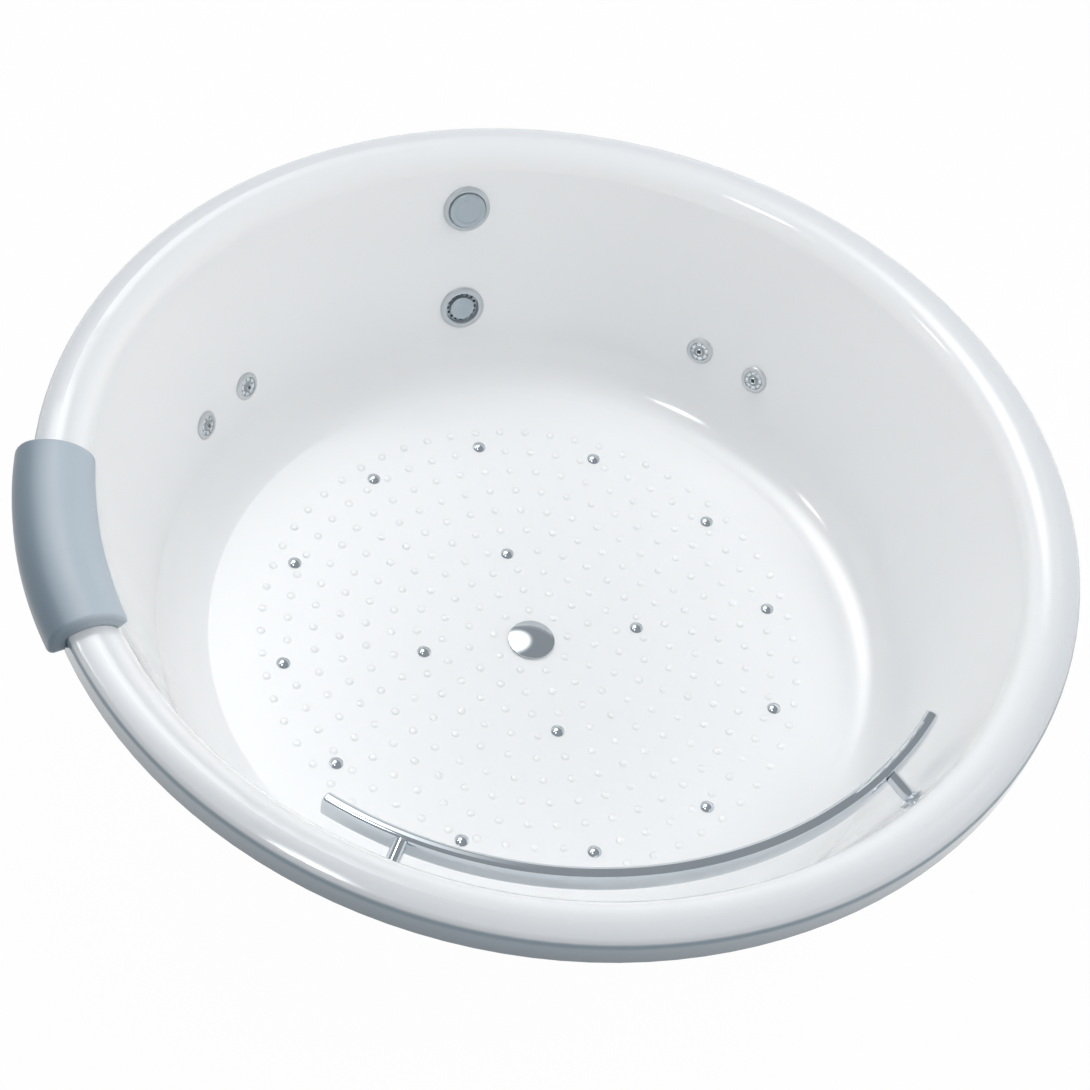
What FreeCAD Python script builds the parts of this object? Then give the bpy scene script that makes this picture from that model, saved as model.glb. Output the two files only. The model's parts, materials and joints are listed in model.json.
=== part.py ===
import FreeCAD, Part
import math
import os

import Sketcher
from FreeCAD import Placement, Rotation, Vector

# Round drop-in jetted bath.  The bath's axis is Z, the overflow is on the +Y side, and the
# levelling feet stand on z = 0.  Heights named *_height are measured from the bath floor at the
# outer ring of air jets; floor_level is that floor's own height above the ground.

SIZES = {
    # Moulded shell: a rolled rim, a leaning wall and a dished floor.
    "rim_diameter": 1500,
    "floor_level": 170,
    "crest_height": 400,
    "crest_inset": 30.4,
    "rim_roll_radius": 48,
    "rim_top_radius": 75,
    "rim_corner_radius": 12,
    "lip_bottom_height": 353,
    "wall_angle": 17.2,
    "floor_fillet_radius": 90,
    "floor_dish": 15,
    "acrylic_thickness": 5,
    "reinforcement_thickness": 4,
    "bond_gap": 0.3,
    "hole_clearance": 0.4,
    "running_gap": 0.08,
    "seat_gap": 0.3,
    # Board and steel frame under the floor.
    "board_inset": 60,
    "board_thickness": 16,
    "rail_side": 30,
    "rail_wall": 2,
    "frame_half_width": 240,
    "frame_half_length": 380,
    "cross_rail_offset": 255,
    # Levelling feet.
    "foot_spacing": 320,
    "foot_pad_radius": 25,
    "foot_pad_height": 20,
    "foot_collar_radius": 14,
    "stud_radius": 6,
    "stud_socket_depth": 10,
    "lock_nut_radius": 11,
    "lock_nut_height": 8,
    # Drain in the middle of the floor.
    "drain_cover_radius": 36.5,
    "drain_cover_edge": 2,
    "drain_cover_rise": 5.4,
    "drain_lift": 10,
    "drain_stem_radius": 4,
    "drain_flange_radius": 35,
    "drain_flange_thickness": 2.5,
    "drain_tail_radius": 23,
    "drain_tail_bore": 19.5,
    "drain_tail_length": 50,
    "drain_seal_thickness": 3,
    "drain_seal_radius": 33,
    "waste_collar_radius": 36,
    "waste_chamber_radius": 38,
    "plastic_wall": 3.5,
    "waste_chamber_top": -75,
    "waste_chamber_bottom": -118,
    "dip_tube_radius": 20,
    "trap_radius": 44,
    "trap_bottom": -163,
    "outlet_height": -139,
    "outlet_radius": 20,
    "outlet_length": 52,
    "outlet_stop_edge": 2.5,
    "outlet_stop_length": 5,
    "spigot_length": 20,
    # Overflow with its turning knob.
    "overflow_height": 303,
    "overflow_flange_radius": 39,
    "overflow_flange_thickness": 6,
    "overflow_neck_radius": 22,
    "overflow_body_radius": 34,
    "overflow_body_depth": 46,
    "overflow_seal_thickness": 3,
    "knob_radius": 30,
    "knob_thickness": 8,
    "knob_edge": 2,
    "spindle_radius": 5,
    "overflow_pipe_radius": 16,
    "overflow_pipe_azimuth": 96,
    "overflow_pipe_height": -95,
    "pipe_depth": 30,
    "pipe_wall": 2,
    "pipe_bend": 45,
    "cable_radius": 3.5,
    "cable_azimuth": 100.5,
    "cable_depth": 22,
    "cable_height": -85,
    "cable_bend": 30,
    # Suction fitting under the overflow.
    "suction_height": 128,
    "suction_flange_radius": 37.5,
    "suction_flange_thickness": 4.5,
    "suction_mouth_radius": 28,
    "suction_neck_radius": 30.5,
    "suction_neck_length": 24,
    "suction_body_radius": 35,
    "suction_body_depth": 54,
    "suction_cover_radius": 20,
    "suction_cover_thickness": 3,
    "guard_depth": 6,
    "guard_thickness": 3,
    "guard_hole_radius": 3,
    "guard_hole_circle": 15,
    "suction_pipe_radius": 20,
    "suction_spigot_length": 46,
    "suction_pipe_reach": 88,
    "suction_bend": 29,
    # Four directional water jets.
    "jet_height": 128,
    "jet_inner_angle": 40.2,
    "jet_outer_angle": 50.4,
    "jet_flange_radius": 23,
    "jet_flange_thickness": 5,
    "jet_neck_radius": 18,
    "jet_neck_length": 22,
    "jet_ring_radius": 15.8,
    "jet_ring_length": 17,
    "jet_ring_front": 3.5,
    "jet_ball_radius": 13.5,
    "jet_ball_depth": 6.5,
    "jet_ball_gap": 0.25,
    "jet_mouth_radius": 9.6,
    "jet_eye_radius": 3.5,
    "jet_nut_radius": 27,
    "jet_nut_thickness": 6,
    "jet_body_radius": 21,
    "jet_body_depth": 82,
    "jet_feed_depth": 62,
    "jet_feed_radius": 9,
    "jet_feed_length": 30,
    "manifold_drop": 46,
    "manifold_radius": 12.5,
    "manifold_overhang": 3,
    # Air jets in the floor and the pipes that feed them.
    "air_ring_inset": 165.4,
    "air_inner_radius": 174,
    "air_pair_angle": 28.66,
    "air_cap_radius": 10.5,
    "air_cap_edge": 1.2,
    "air_cap_rise": 4,
    "air_cap_stem_radius": 5,
    "air_body_flange_radius": 13,
    "air_body_flange_thickness": 5.5,
    "air_body_radius": 7,
    "air_body_bore": 3,
    "air_pipe_height": -60,
    "air_pipe_radius": 10,
    "air_spoke_radius": 7,
    "air_duct_radius": 16,
    "air_duct_out": 58.4,
    "air_duct_top": 230,
    "air_duct_azimuth": 108,
    "air_duct_bend": 40,
    # Air blower.
    "equipment_inset": 190,
    "blower_offset": 325,
    "blower_radius": 75,
    "blower_top": -72,
    "blower_spigot_rise": 14,
    "blower_entry": -50,
    "blower_wall": 4,
    "blower_shaft_radius": 6,
    "blower_fan_radius": 58,
    "blower_fan_height": 22,
    "blower_hub_radius": 16,
    "blower_blades": 12,
    "blower_intake_radius": 5,
    "blower_intake_circle": 30,
    "blower_intakes": 7,
    "blower_intake_step": 30,
    # Water pump, lying along X.
    "pump_start": 150,
    "pump_height": -95,
    "volute_radius": 62,
    "volute_length": 52,
    "volute_wall": 6,
    "pump_inlet_length": 20,
    "pump_riser_start": -24,
    "pump_riser_bend_height": 4,
    "motor_radius": 54,
    "motor_length": 122,
    "motor_wall": 5,
    "fin_count": 24,
    "fin_height": 4,
    "fin_thickness": 2.4,
    "pump_shaft_radius": 8,
    "impeller_radius": 46,
    "impeller_thickness": 14,
    "rotor_core_radius": 34,
    "rotor_core_length": 60,
    "saddle_width": 84,
    "saddle_length": 80,
    # Sheet trays that carry the pump and the blower.
    "tray_height": -163,
    "tray_sheet": 3,
    "tray_hook": 37,
    # Electrical box on the right-hand rail.
    "box_depth": 60,
    "box_length": 160,
    "box_bottom": -150,
    "box_top": -74,
    "box_wall": 2.5,
    "gland_radius": 7,
    "gland_length": 10,
    "gland_height": -88,
    "cord_radius": 3.8,
    "cord_bend": 16,
    "cord_lead": 26,
    "cord_slant": 24,
    "cord_loop": 60,
    "cord_height": -130,
    # Grab bar opposite the overflow.
    "bar_reach": 48.65,
    "bar_height": 304.5,
    "bar_tall": 36,
    "bar_thick": 20,
    "bar_round": 8,
    "bar_end_round": 5,
    "bar_middle_azimuth": -89.5,
    "bar_half_angle": 45,
    "post_angle": 33.4,
    "post_middle_azimuth": -90.2,
    "post_radius": 10,
    "rosette_radius": 18,
    "rosette_thickness": 4,
    "post_stud_radius": 5,
    "post_stud_length": 24,
    "post_nut_radius": 14,
    "post_nut_thickness": 8,
    # Headrest that hangs over the rim.
    "headrest_middle_azimuth": 182.6,
    "headrest_angle": 25.2,
    "headrest_thickness": 17.5,
    "headrest_wrap": 66,
    "headrest_round": 6,
}


class Size:
    """A length with the cell formula that it comes from, so that a feature can be bound to it."""

    def __init__(self, value, formula):
        self.value = value
        self.formula = formula

    def __float__(self):
        return float(self.value)

    def _join(self, other, sign, value, swap=False):
        text = other.formula if isinstance(other, Size) else str(other)
        pair = (text, self.formula) if swap else (self.formula, text)
        return Size(value, "(%s %s %s)" % (pair[0], sign, pair[1]))

    def __add__(self, other):
        return self._join(other, "+", self.value + float(other))

    def __radd__(self, other):
        return self._join(other, "+", float(other) + self.value, swap=True)

    def __sub__(self, other):
        return self._join(other, "-", self.value - float(other))

    def __rsub__(self, other):
        return self._join(other, "-", float(other) - self.value, swap=True)

    def __mul__(self, other):
        return self._join(other, "*", self.value * float(other))

    def __rmul__(self, other):
        return self._join(other, "*", float(other) * self.value, swap=True)

    def __truediv__(self, other):
        return self._join(other, "/", self.value / float(other))

    def __neg__(self):
        return Size(-self.value, "(0 - %s)" % self.formula)


doc = FreeCAD.newDocument("jetted_bath")
sheet = doc.addObject("Spreadsheet::Sheet", "Sizes")
for row, (alias, number) in enumerate(SIZES.items(), start=1):
    sheet.set("A%d" % row, alias)
    sheet.set("B%d" % row, str(number))
    sheet.setAlias("B%d" % row, alias)
doc.recompute()


def cell(alias):
    """Read one driving dimension from the sheet."""
    return Size(float(sheet.get(alias)), "Sizes." + alias)


def worked_out(value):
    """A length that follows from places and not from one cell."""
    return Size(float(value), "%.4f" % float(value))


S = type("Cells", (), {alias: cell(alias) for alias in SIZES})
nodes = []
ORIGIN = Vector(0, 0, 0)
UP = Vector(0, 0, 1)
OVERRUN = 1  # how far a feature bites into what it joins, and a cut runs past what it opens
SEAL_LINE = 0.05  # bead of sealant under a flat flange's edge on the round wall


# ---------------------------------------------------------------- building helpers

def keep(item):
    """Count an object as one of the bath's pieces."""
    nodes.append(item)
    return item


def bind(item, **sizes):
    """Tie properties of an object to the sheet."""
    for name, amount in sizes.items():
        item.setExpression(name, amount.formula if isinstance(amount, Size) else str(amount))
    return item


def shaped(label, shape, placement=None):
    """Hold a shape that is worked out from the sheet."""
    item = doc.addObject("Part::Feature", label)
    item.Shape = shape
    if placement is not None:
        item.Placement = placement
    return item


def pin_point(sketch, edge, end, direction, amount):
    """Fix one end of a sketch line at a distance from the axis or the base line."""
    if not isinstance(amount, Size):
        axis = -2 if direction == "DistanceX" else -1
        if amount == 0:
            sketch.addConstraint(Sketcher.Constraint("PointOnObject", edge, end, axis))
            return
        amount = Size(float(amount), str(float(amount)))
    index = sketch.addConstraint(Sketcher.Constraint(direction, -1, 1, edge, end, float(amount)))
    sketch.setExpression("Constraints[%d]" % index, amount.formula)


def turned(label, outline, placement=None):
    """Turn an outline of (radius, height) corners about Z.

    A corner may carry a third value, the radius of the round edge that leaves it.
    """
    body = doc.addObject("PartDesign::Body", label)
    plane = [item for item in body.Origin.OriginFeatures if item.Role == "XZ_Plane"][0]
    sketch = body.newObject("Sketcher::SketchObject", label + "_outline")
    sketch.AttachmentSupport = (plane, [""])
    sketch.MapMode = "FlatFace"
    count = len(outline)
    corners = [Vector(float(corner[0]), float(corner[1]), 0) for corner in outline]
    for number, corner in enumerate(outline):
        start = corners[number]
        end = corners[(number + 1) % count]
        if len(corner) == 3:
            chord = end - start
            radius = float(corner[2])
            rise = radius - math.sqrt(radius ** 2 - (chord.Length / 2) ** 2)
            outward = Vector(chord.y, -chord.x, 0).normalize()
            sketch.addGeometry(Part.Arc(start, (start + end) * 0.5 + outward * rise, end))
        else:
            sketch.addGeometry(Part.LineSegment(start, end))

    def tip(edge, point):
        return 1 if (sketch.Geometry[edge].StartPoint - point).Length < 1e-6 else 2

    for number in range(count):
        after = (number + 1) % count
        joint = corners[after]
        sketch.addConstraint(
            Sketcher.Constraint("Coincident", number, tip(number, joint), after, tip(after, joint)))
    for number, corner in enumerate(outline):
        end = tip(number, corners[number])
        pin_point(sketch, number, end, "DistanceX", corner[0])
        pin_point(sketch, number, end, "DistanceY", corner[1])
        if len(corner) == 3:
            index = sketch.addConstraint(Sketcher.Constraint("Radius", number, float(corner[2])))
            sketch.setExpression("Constraints[%d]" % index, corner[2].formula)
    turn = body.newObject("PartDesign::Revolution", label + "_turn")
    turn.Profile = sketch
    turn.ReferenceAxis = (sketch, ["V_Axis"])
    turn.Angle = 360
    body.Tip = turn
    if placement is not None:
        body.Placement = placement
    return body


def dome_radius(radius, rise):
    """Radius of the sphere whose cap has this radius and rise."""
    return (radius * radius + rise * rise) / (rise * 2)


def cylinder(label, radius, height, placement=None):
    item = bind(doc.addObject("Part::Cylinder", label), Radius=radius, Height=height)
    if placement is not None:
        item.Placement = placement
    return item


def block(label, low, high):
    """A box between two corners, its sizes bound to the sheet."""
    item = doc.addObject("Part::Box", label)
    bind(item, Length=high[0] - low[0], Width=high[1] - low[1], Height=high[2] - low[2])
    for axis, amount in zip("xyz", low):
        item.setExpression("Placement.Base." + axis, amount.formula)
    return item


def fused(label, *pieces):
    item = doc.addObject("Part::MultiFuse", label)
    item.Shapes = list(pieces)
    item.Refine = True
    return item


def cut(label, base, *tools):
    item = doc.addObject("Part::Cut", label)
    item.Base = base
    item.Tool = tools[0] if len(tools) == 1 else fused(label + "_tools", *tools)
    return item


def solid_of(source):
    """The shape of a helper object in the bath's frame."""
    doc.recompute()
    return source.Shape.copy()


def repeated(label, source, places):
    """Several separate copies of one piece in one group."""
    master = solid_of(source)
    copies = []
    for place in places:
        copy = master.copy()
        copy.Placement = place.multiply(master.Placement)
        copies.append(copy)
    return shaped(label, Part.Compound(copies))


def rounded_route(points, bend):
    """Straight runs through the points, joined by tangent arcs of the bend radius."""
    edges = []
    start = points[0]
    for before, corner, after in zip(points, points[1:], points[2:]):
        back = (before - corner).normalize()
        ahead = (after - corner).normalize()
        half_turn = (math.pi - back.getAngle(ahead)) / 2
        reach = bend * math.tan(half_turn)
        enter = corner + back * reach
        leave = corner + ahead * reach
        bisector = (back + ahead).normalize()
        middle = corner + bisector * (bend / math.cos(half_turn) - bend)
        edges.append(Part.LineSegment(start, enter).toShape())
        edges.append(Part.Arc(enter, middle, leave).toShape())
        start = leave
    edges.append(Part.LineSegment(start, points[-1]).toShape())
    return Part.Wire(edges)


def rod_along(route, radius):
    """A round rod along a route."""
    edge = route.Edges[0]
    start = edge.valueAt(edge.FirstParameter)
    direction = edge.tangentAt(edge.FirstParameter)
    section = Part.Wire([Part.Circle(start, direction, radius).toShape()])
    rod = route.makePipeShell([section], True, True)
    expected = math.pi * radius ** 2 * route.Length
    if abs(rod.Volume / expected - 1) > 0.01:
        raise ValueError("a tube differs from its section times its length")
    return rod


def hose(label, points, bend, radius, wall=0.0):
    """A round tube, or a solid cord where no wall is given."""
    route = rounded_route(points, float(bend))
    tube = rod_along(route, float(radius))
    if float(wall) > 0:
        tube = tube.cut(rod_along(route, float(radius) - float(wall)))
    print("%s: %.0f mm long, bends %.0f mm" % (label, route.Length, float(bend)))
    return shaped(label, tube)


def hexagon(radius, height, bore):
    """A hexagonal nut with its underside on z = 0."""
    corners = [Vector(radius * math.cos(math.radians(60 * n)), radius * math.sin(math.radians(60 * n)), 0)
               for n in range(7)]
    prism = Part.Face(Part.makePolygon(corners)).extrude(UP * height)
    return prism.cut(Part.makeCylinder(bore, height))


# ---------------------------------------------------------------- where things are

lean = math.radians(float(S.wall_angle))
rim_radius = float(S.rim_diameter) / 2
crest_radius = rim_radius - float(S.crest_inset)
roll = float(S.rim_roll_radius)
wall_top_radius = crest_radius - roll * math.cos(lean)
wall_top_height = float(S.crest_height) - roll + roll * math.sin(lean)


def wall_radius(height):
    """Radius of the wall's inner face at a height above the bath floor."""
    return wall_top_radius + math.tan(lean) * (height - wall_top_height)


air_ring_radius = wall_radius(0) - float(S.air_ring_inset)
dish = float(S.floor_dish)
dish_radius = (air_ring_radius ** 2 + dish ** 2) / (2 * dish)


def floor_height(radius):
    """Height of the dished floor at a radius."""
    return dish_radius - dish - math.sqrt(dish_radius ** 2 - radius ** 2)


def level(height):
    """Turn a height above the bath floor into a height above the ground."""
    return float(S.floor_level) + float(height)


def around(azimuth, radius, height):
    """A point from an azimuth in degrees, a radius and a height above the bath floor."""
    angle = math.radians(float(azimuth))
    return Vector(radius * math.cos(angle), radius * math.sin(angle), level(height))


def on_wall(azimuth, height):
    """Local Z points out of the wall towards the bather, local Y up the wall."""
    angle = math.radians(float(azimuth))
    outward = Vector(math.cos(angle), math.sin(angle), 0)
    along_z = outward * -math.cos(lean) + UP * math.sin(lean)
    along_y = outward * math.sin(lean) + UP * math.cos(lean)
    turn = Rotation(along_y.cross(along_z), along_y, along_z, "ZYX")
    return Placement(around(azimuth, wall_radius(float(height)), height), turn)


def behind_wall(azimuth, height, depth):
    """A point at a depth behind the wall's inner face."""
    return on_wall(azimuth, height).multVec(Vector(0, 0, -float(depth)))


def on_floor(azimuth, radius):
    """Local Z stands square on the dished floor."""
    angle = math.radians(azimuth)
    tilt = math.asin(radius / dish_radius)
    outward = Vector(math.cos(angle), math.sin(angle), 0)
    along_z = outward * -math.sin(tilt) + UP * math.cos(tilt)
    along_x = outward * math.cos(tilt) + UP * math.sin(tilt)
    turn = Rotation(along_x, along_z.cross(along_x), along_z, "ZXY")
    return Placement(around(azimuth, radius, floor_height(radius)), turn)


def wall_sag(radius, height):
    """How far the round wall stands in front of a flat flange's edge."""
    return float(radius) ** 2 / (2 * wall_radius(float(height)))


def seat_on_wall(radius, height):
    """Height of a flat flange's back over the wall, with its seal line."""
    return wall_sag(radius, height) + SEAL_LINE


shell_depth = S.acrylic_thickness + S.bond_gap + S.reinforcement_thickness
behind_shell = -float(shell_depth) - float(S.seat_gap)
floor_centre = Placement(Vector(0, 0, level(-dish)), Rotation())
equipment_y = rim_radius - float(S.equipment_inset)
overflow_azimuth = 90.0
jet_azimuths = [overflow_azimuth + side * float(angle)
                for side in (1, -1) for angle in (S.jet_outer_angle, S.jet_inner_angle)]
quarter_azimuths = [0.0, 90.0, 180.0, 270.0]
pair_azimuths = [quarter + side * float(S.air_pair_angle)
                 for quarter in quarter_azimuths for side in (-1, 1)]
outer_air_azimuths = quarter_azimuths + pair_azimuths
bar_azimuths = [float(S.post_middle_azimuth) + side * float(S.post_angle) for side in (-1, 1)]


# ---------------------------------------------------------------- shell

def shell_outline():
    """The visible face of the shell from the drain to the lip: start, middle and end of each run."""
    floor_centre_point = (0.0, dish_radius - dish)
    fillet = float(S.floor_fillet_radius)
    inward = (-math.cos(lean), math.sin(lean))
    base = (wall_radius(0) + inward[0] * fillet, inward[1] * fillet)
    along = (math.sin(lean), math.cos(lean))
    gap = (base[0] - floor_centre_point[0], base[1] - floor_centre_point[1])
    linear = gap[0] * along[0] + gap[1] * along[1]
    rest = gap[0] ** 2 + gap[1] ** 2 - (dish_radius - fillet) ** 2
    step = -linear - math.sqrt(linear ** 2 - rest)
    centre = (base[0] + along[0] * step, base[1] + along[1] * step)
    fillet_end = (centre[0] - inward[0] * fillet, centre[1] - inward[1] * fillet)
    toward = math.atan2(centre[1] - floor_centre_point[1], centre[0])

    def on_circle(middle, radius, angle, sign):
        way = (math.cos(angle), math.sin(angle))
        point = (middle[0] + radius * way[0], middle[1] + radius * way[1])
        return point, (sign * way[0], sign * way[1])

    def arc(middle, radius, first, last, sign):
        return [on_circle(middle, radius, first + (last - first) * share, sign) for share in (0, 0.5, 1)]

    drain_radius = float(S.drain_tail_radius + S.hole_clearance)
    drain_angle = -math.acos(drain_radius / dish_radius)
    roll_centre = (crest_radius, float(S.crest_height) - roll)
    top = float(S.rim_top_radius)
    corner = float(S.rim_corner_radius)
    top_centre = (crest_radius, float(S.crest_height) - top)
    corner_shift = rim_radius - corner - crest_radius
    corner_rise = math.sqrt((top - corner) ** 2 - corner_shift ** 2)
    corner_centre = (rim_radius - corner, top_centre[1] + corner_rise)
    top_angle = math.atan2(corner_rise, corner_shift)
    lip_top = (rim_radius, corner_centre[1])
    lip_bottom = (rim_radius, float(S.lip_bottom_height))
    return [
        arc(floor_centre_point, dish_radius, drain_angle, toward, -1),
        arc(centre, fillet, toward, -lean, -1),
        [(fillet_end, inward), None, ((wall_top_radius, wall_top_height), inward)],
        arc(roll_centre, roll, math.pi - lean, math.pi / 2, 1),
        arc(top_centre, top, math.pi / 2, top_angle, 1),
        arc(corner_centre, corner, top_angle, 0, 1),
        [(lip_top, (1, 0)), None, (lip_bottom, (1, 0))],
    ]


def offset_edges(runs, depth):
    """The outline's edges moved into the shell by a depth."""
    edges = []
    for run in runs:
        points = [None if spot is None else
                  Vector(spot[0][0] - spot[1][0] * depth, 0, level(spot[0][1] - spot[1][1] * depth))
                  for spot in run]
        if points[1] is None:
            edges.append(Part.LineSegment(points[0], points[2]).toShape())
        else:
            edges.append(Part.Arc(*points).toShape())
    return edges


def layer_face(runs, near, far):
    """The closed section between two depths under the outline."""
    front = offset_edges(runs, near)
    back = offset_edges(runs, far)
    start = Part.LineSegment(back[0].Vertexes[0].Point, front[0].Vertexes[0].Point).toShape()
    end = Part.LineSegment(front[-1].Vertexes[-1].Point, back[-1].Vertexes[-1].Point).toShape()
    return Part.Face(Part.Wire(Part.__sortEdges__([start] + front + [end] + back)))


def spun(label, face):
    """A full turn of a section about the bath's axis."""
    section = shaped(label + "_section", face)
    item = doc.addObject("Part::Revolution", label + "_blank")
    item.Source = section
    item.Axis = UP
    item.Base = ORIGIN
    item.Angle = 360
    item.Solid = True
    return item


def through_hole(label, radius, place):
    """A drill through both layers of the shell, square on a wall or floor placement."""
    drill = cylinder(label, radius, shell_depth * 4)
    drill.Placement = place.multiply(Placement(Vector(0, 0, -float(shell_depth) * 2), Rotation()))
    return drill


runs = shell_outline()
drills = [
    through_hole("overflow_hole", S.overflow_neck_radius + S.hole_clearance,
                 on_wall(overflow_azimuth, S.overflow_height)),
    through_hole("suction_hole", S.suction_neck_radius + S.hole_clearance,
                 on_wall(overflow_azimuth, S.suction_height)),
]
for number, azimuth in enumerate(jet_azimuths, start=1):
    drills.append(through_hole("jet_hole_%d" % number, S.jet_neck_radius + S.hole_clearance,
                               on_wall(azimuth, S.jet_height)))
for number, azimuth in enumerate(bar_azimuths, start=1):
    drills.append(through_hole("bar_hole_%d" % number, S.post_stud_radius + S.hole_clearance,
                               on_wall(azimuth, S.bar_height)))
air_places = [on_floor(azimuth, air_ring_radius) for azimuth in outer_air_azimuths]
air_places += [on_floor(azimuth, float(S.air_inner_radius)) for azimuth in quarter_azimuths]
for number, place in enumerate(air_places, start=1):
    drills.append(through_hole("air_hole_%d" % number, S.air_cap_stem_radius + S.hole_clearance, place))
all_drills = fused("shell_drills", *drills)

reinforcement_start = S.acrylic_thickness + S.bond_gap
acrylic_face = layer_face(runs, 0, float(S.acrylic_thickness))
backing_face = layer_face(runs[:4], float(reinforcement_start), float(shell_depth))
keep(cut("acrylic_shell", spun("acrylic", acrylic_face), all_drills))
keep(cut("reinforcement_shell", spun("reinforcement", backing_face), all_drills))


# ---------------------------------------------------------------- board, frame and feet

board_top = S.floor_level - S.floor_dish - shell_depth - S.bond_gap
rail_top = board_top - S.board_thickness
side_top = rail_top - S.rail_side
rail_bottom = side_top - S.rail_side


def standing(radius, bottom, height, label, x=0.0, y=0.0):
    """An upright cylinder from a bottom height."""
    return cylinder(label, radius, height, Placement(Vector(x, y, float(bottom)), Rotation()))


board_radius = worked_out(air_ring_radius) - S.board_inset
board_blank = standing(board_radius, rail_top, S.board_thickness, "board_blank")
board_holes = [standing(S.waste_collar_radius + 4 * S.hole_clearance, rail_top, S.board_thickness,
                        "board_drain_hole")]
for number, place in enumerate(air_places[len(outer_air_azimuths):], start=1):
    board_holes.append(standing(S.air_body_flange_radius + 5 * S.hole_clearance, rail_top, S.board_thickness,
                                "board_air_hole_%d" % number, place.Base.x, place.Base.y))
keep(cut("base_board", board_blank, *board_holes))


def rail(label, low, high, along):
    """A square steel tube between two corners, open at its ends."""
    inner_low = list(low)
    inner_high = list(high)
    for axis in range(3):
        if axis != along:
            inner_low[axis] = low[axis] + S.rail_wall
            inner_high[axis] = high[axis] - S.rail_wall
    return keep(cut(label, block(label + "_blank", low, high), block(label + "_bore", inner_low, inner_high)))


half_rail = S.rail_side / 2
cross_reach = S.frame_half_width + half_rail
for name, sign in (("front", -1), ("rear", 1)):
    middle = S.cross_rail_offset * sign
    rail("cross_rail_" + name, (-cross_reach, middle - half_rail, side_top),
         (cross_reach, middle + half_rail, rail_top), along=0)
for name, sign in (("left", -1), ("right", 1)):
    middle = S.frame_half_width * sign
    rail("side_rail_" + name, (middle - half_rail, -S.frame_half_length, rail_bottom),
         (middle + half_rail, S.frame_half_length, side_top), along=1)

foot_spots = [Placement(Vector(side * float(S.frame_half_width), row * float(S.foot_spacing), 0), Rotation())
              for side in (-1, 1) for row in (-1, 0, 1)]
socket = S.stud_radius + S.seat_gap
socket_floor = S.foot_pad_height - S.stud_socket_depth
foot_pad = turned("foot_pad_master", [
    (0, 0), (S.foot_pad_radius, 0), (S.foot_pad_radius, S.foot_pad_height * 0.3),
    (S.foot_collar_radius, S.foot_pad_height), (socket, S.foot_pad_height), (socket, socket_floor),
    (0, socket_floor)])
keep(repeated("foot_pads", foot_pad, foot_spots))
stud_bottom = socket_floor + S.seat_gap
stud = standing(S.stud_radius, stud_bottom, rail_bottom - stud_bottom, "foot_stud_master")
keep(repeated("foot_studs", stud, foot_spots))
lock_nut = shaped("foot_lock_nut_master",
                  hexagon(float(S.lock_nut_radius), float(S.lock_nut_height), float(socket)),
                  Placement(Vector(0, 0, float(rail_bottom - S.lock_nut_height - S.seat_gap)), Rotation()))
keep(repeated("foot_lock_nuts", lock_nut, foot_spots))


# ---------------------------------------------------------------- drain and trap

stem_bore = S.drain_stem_radius + S.running_gap
flange_top = S.drain_flange_thickness
flange_seat = S.bond_gap
hub_top = -S.drain_tail_length * 0.4
hub_bottom = -S.drain_tail_length * 0.6
drain_ring = turned("drain_ring", [
    (S.drain_tail_bore, flange_top), (S.drain_tail_bore, -S.drain_tail_length),
    (S.drain_tail_radius, -S.drain_tail_length), (S.drain_tail_radius, flange_seat),
    (S.drain_flange_radius, flange_seat), (S.drain_flange_radius, flange_top)], floor_centre)
drain_hub = turned("drain_hub", [
    (stem_bore, hub_bottom), (stem_bore * 2, hub_bottom), (stem_bore * 2, hub_top), (stem_bore, hub_top)],
    floor_centre)
spoke_width = S.drain_stem_radius
spokes = []
for number in range(3):
    spoke = bind(doc.addObject("Part::Box", "drain_spoke_%d" % number),
                 Length=S.drain_tail_bore - stem_bore * 1.5 + 0.5, Width=spoke_width,
                 Height=hub_top - hub_bottom)
    turn = Placement(Vector(0, 0, level(-dish)), Rotation(UP, 120 * number))
    spoke.Placement = turn.multiply(
        Placement(Vector(float(stem_bore * 1.5), -float(spoke_width) / 2, float(hub_bottom)), Rotation()))
    spokes.append(spoke)
keep(fused("drain_flange", drain_ring, drain_hub, *spokes))

cover_base = flange_top + S.running_gap
cover_top = cover_base + S.drain_cover_edge
stem_bottom = hub_bottom - S.drain_lift * 2
keep(turned("drain_cover", [
    (0, stem_bottom), (S.drain_stem_radius, stem_bottom),
    (S.drain_stem_radius, cover_base), (S.drain_cover_radius, cover_base),
    (S.drain_cover_radius, cover_top, dome_radius(S.drain_cover_radius, S.drain_cover_rise)),
    (0, cover_top + S.drain_cover_rise)],
    floor_centre))

seal_top = -shell_depth - S.bond_gap
seal_bottom = seal_top - S.drain_seal_thickness
tail_socket = S.drain_tail_radius + S.seat_gap
drain_to_floor = S.floor_dish
keep(turned("drain_seal", [
    (tail_socket, seal_bottom), (S.drain_seal_radius, seal_bottom), (S.drain_seal_radius, seal_top),
    (tail_socket, seal_top)], floor_centre))

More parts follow.
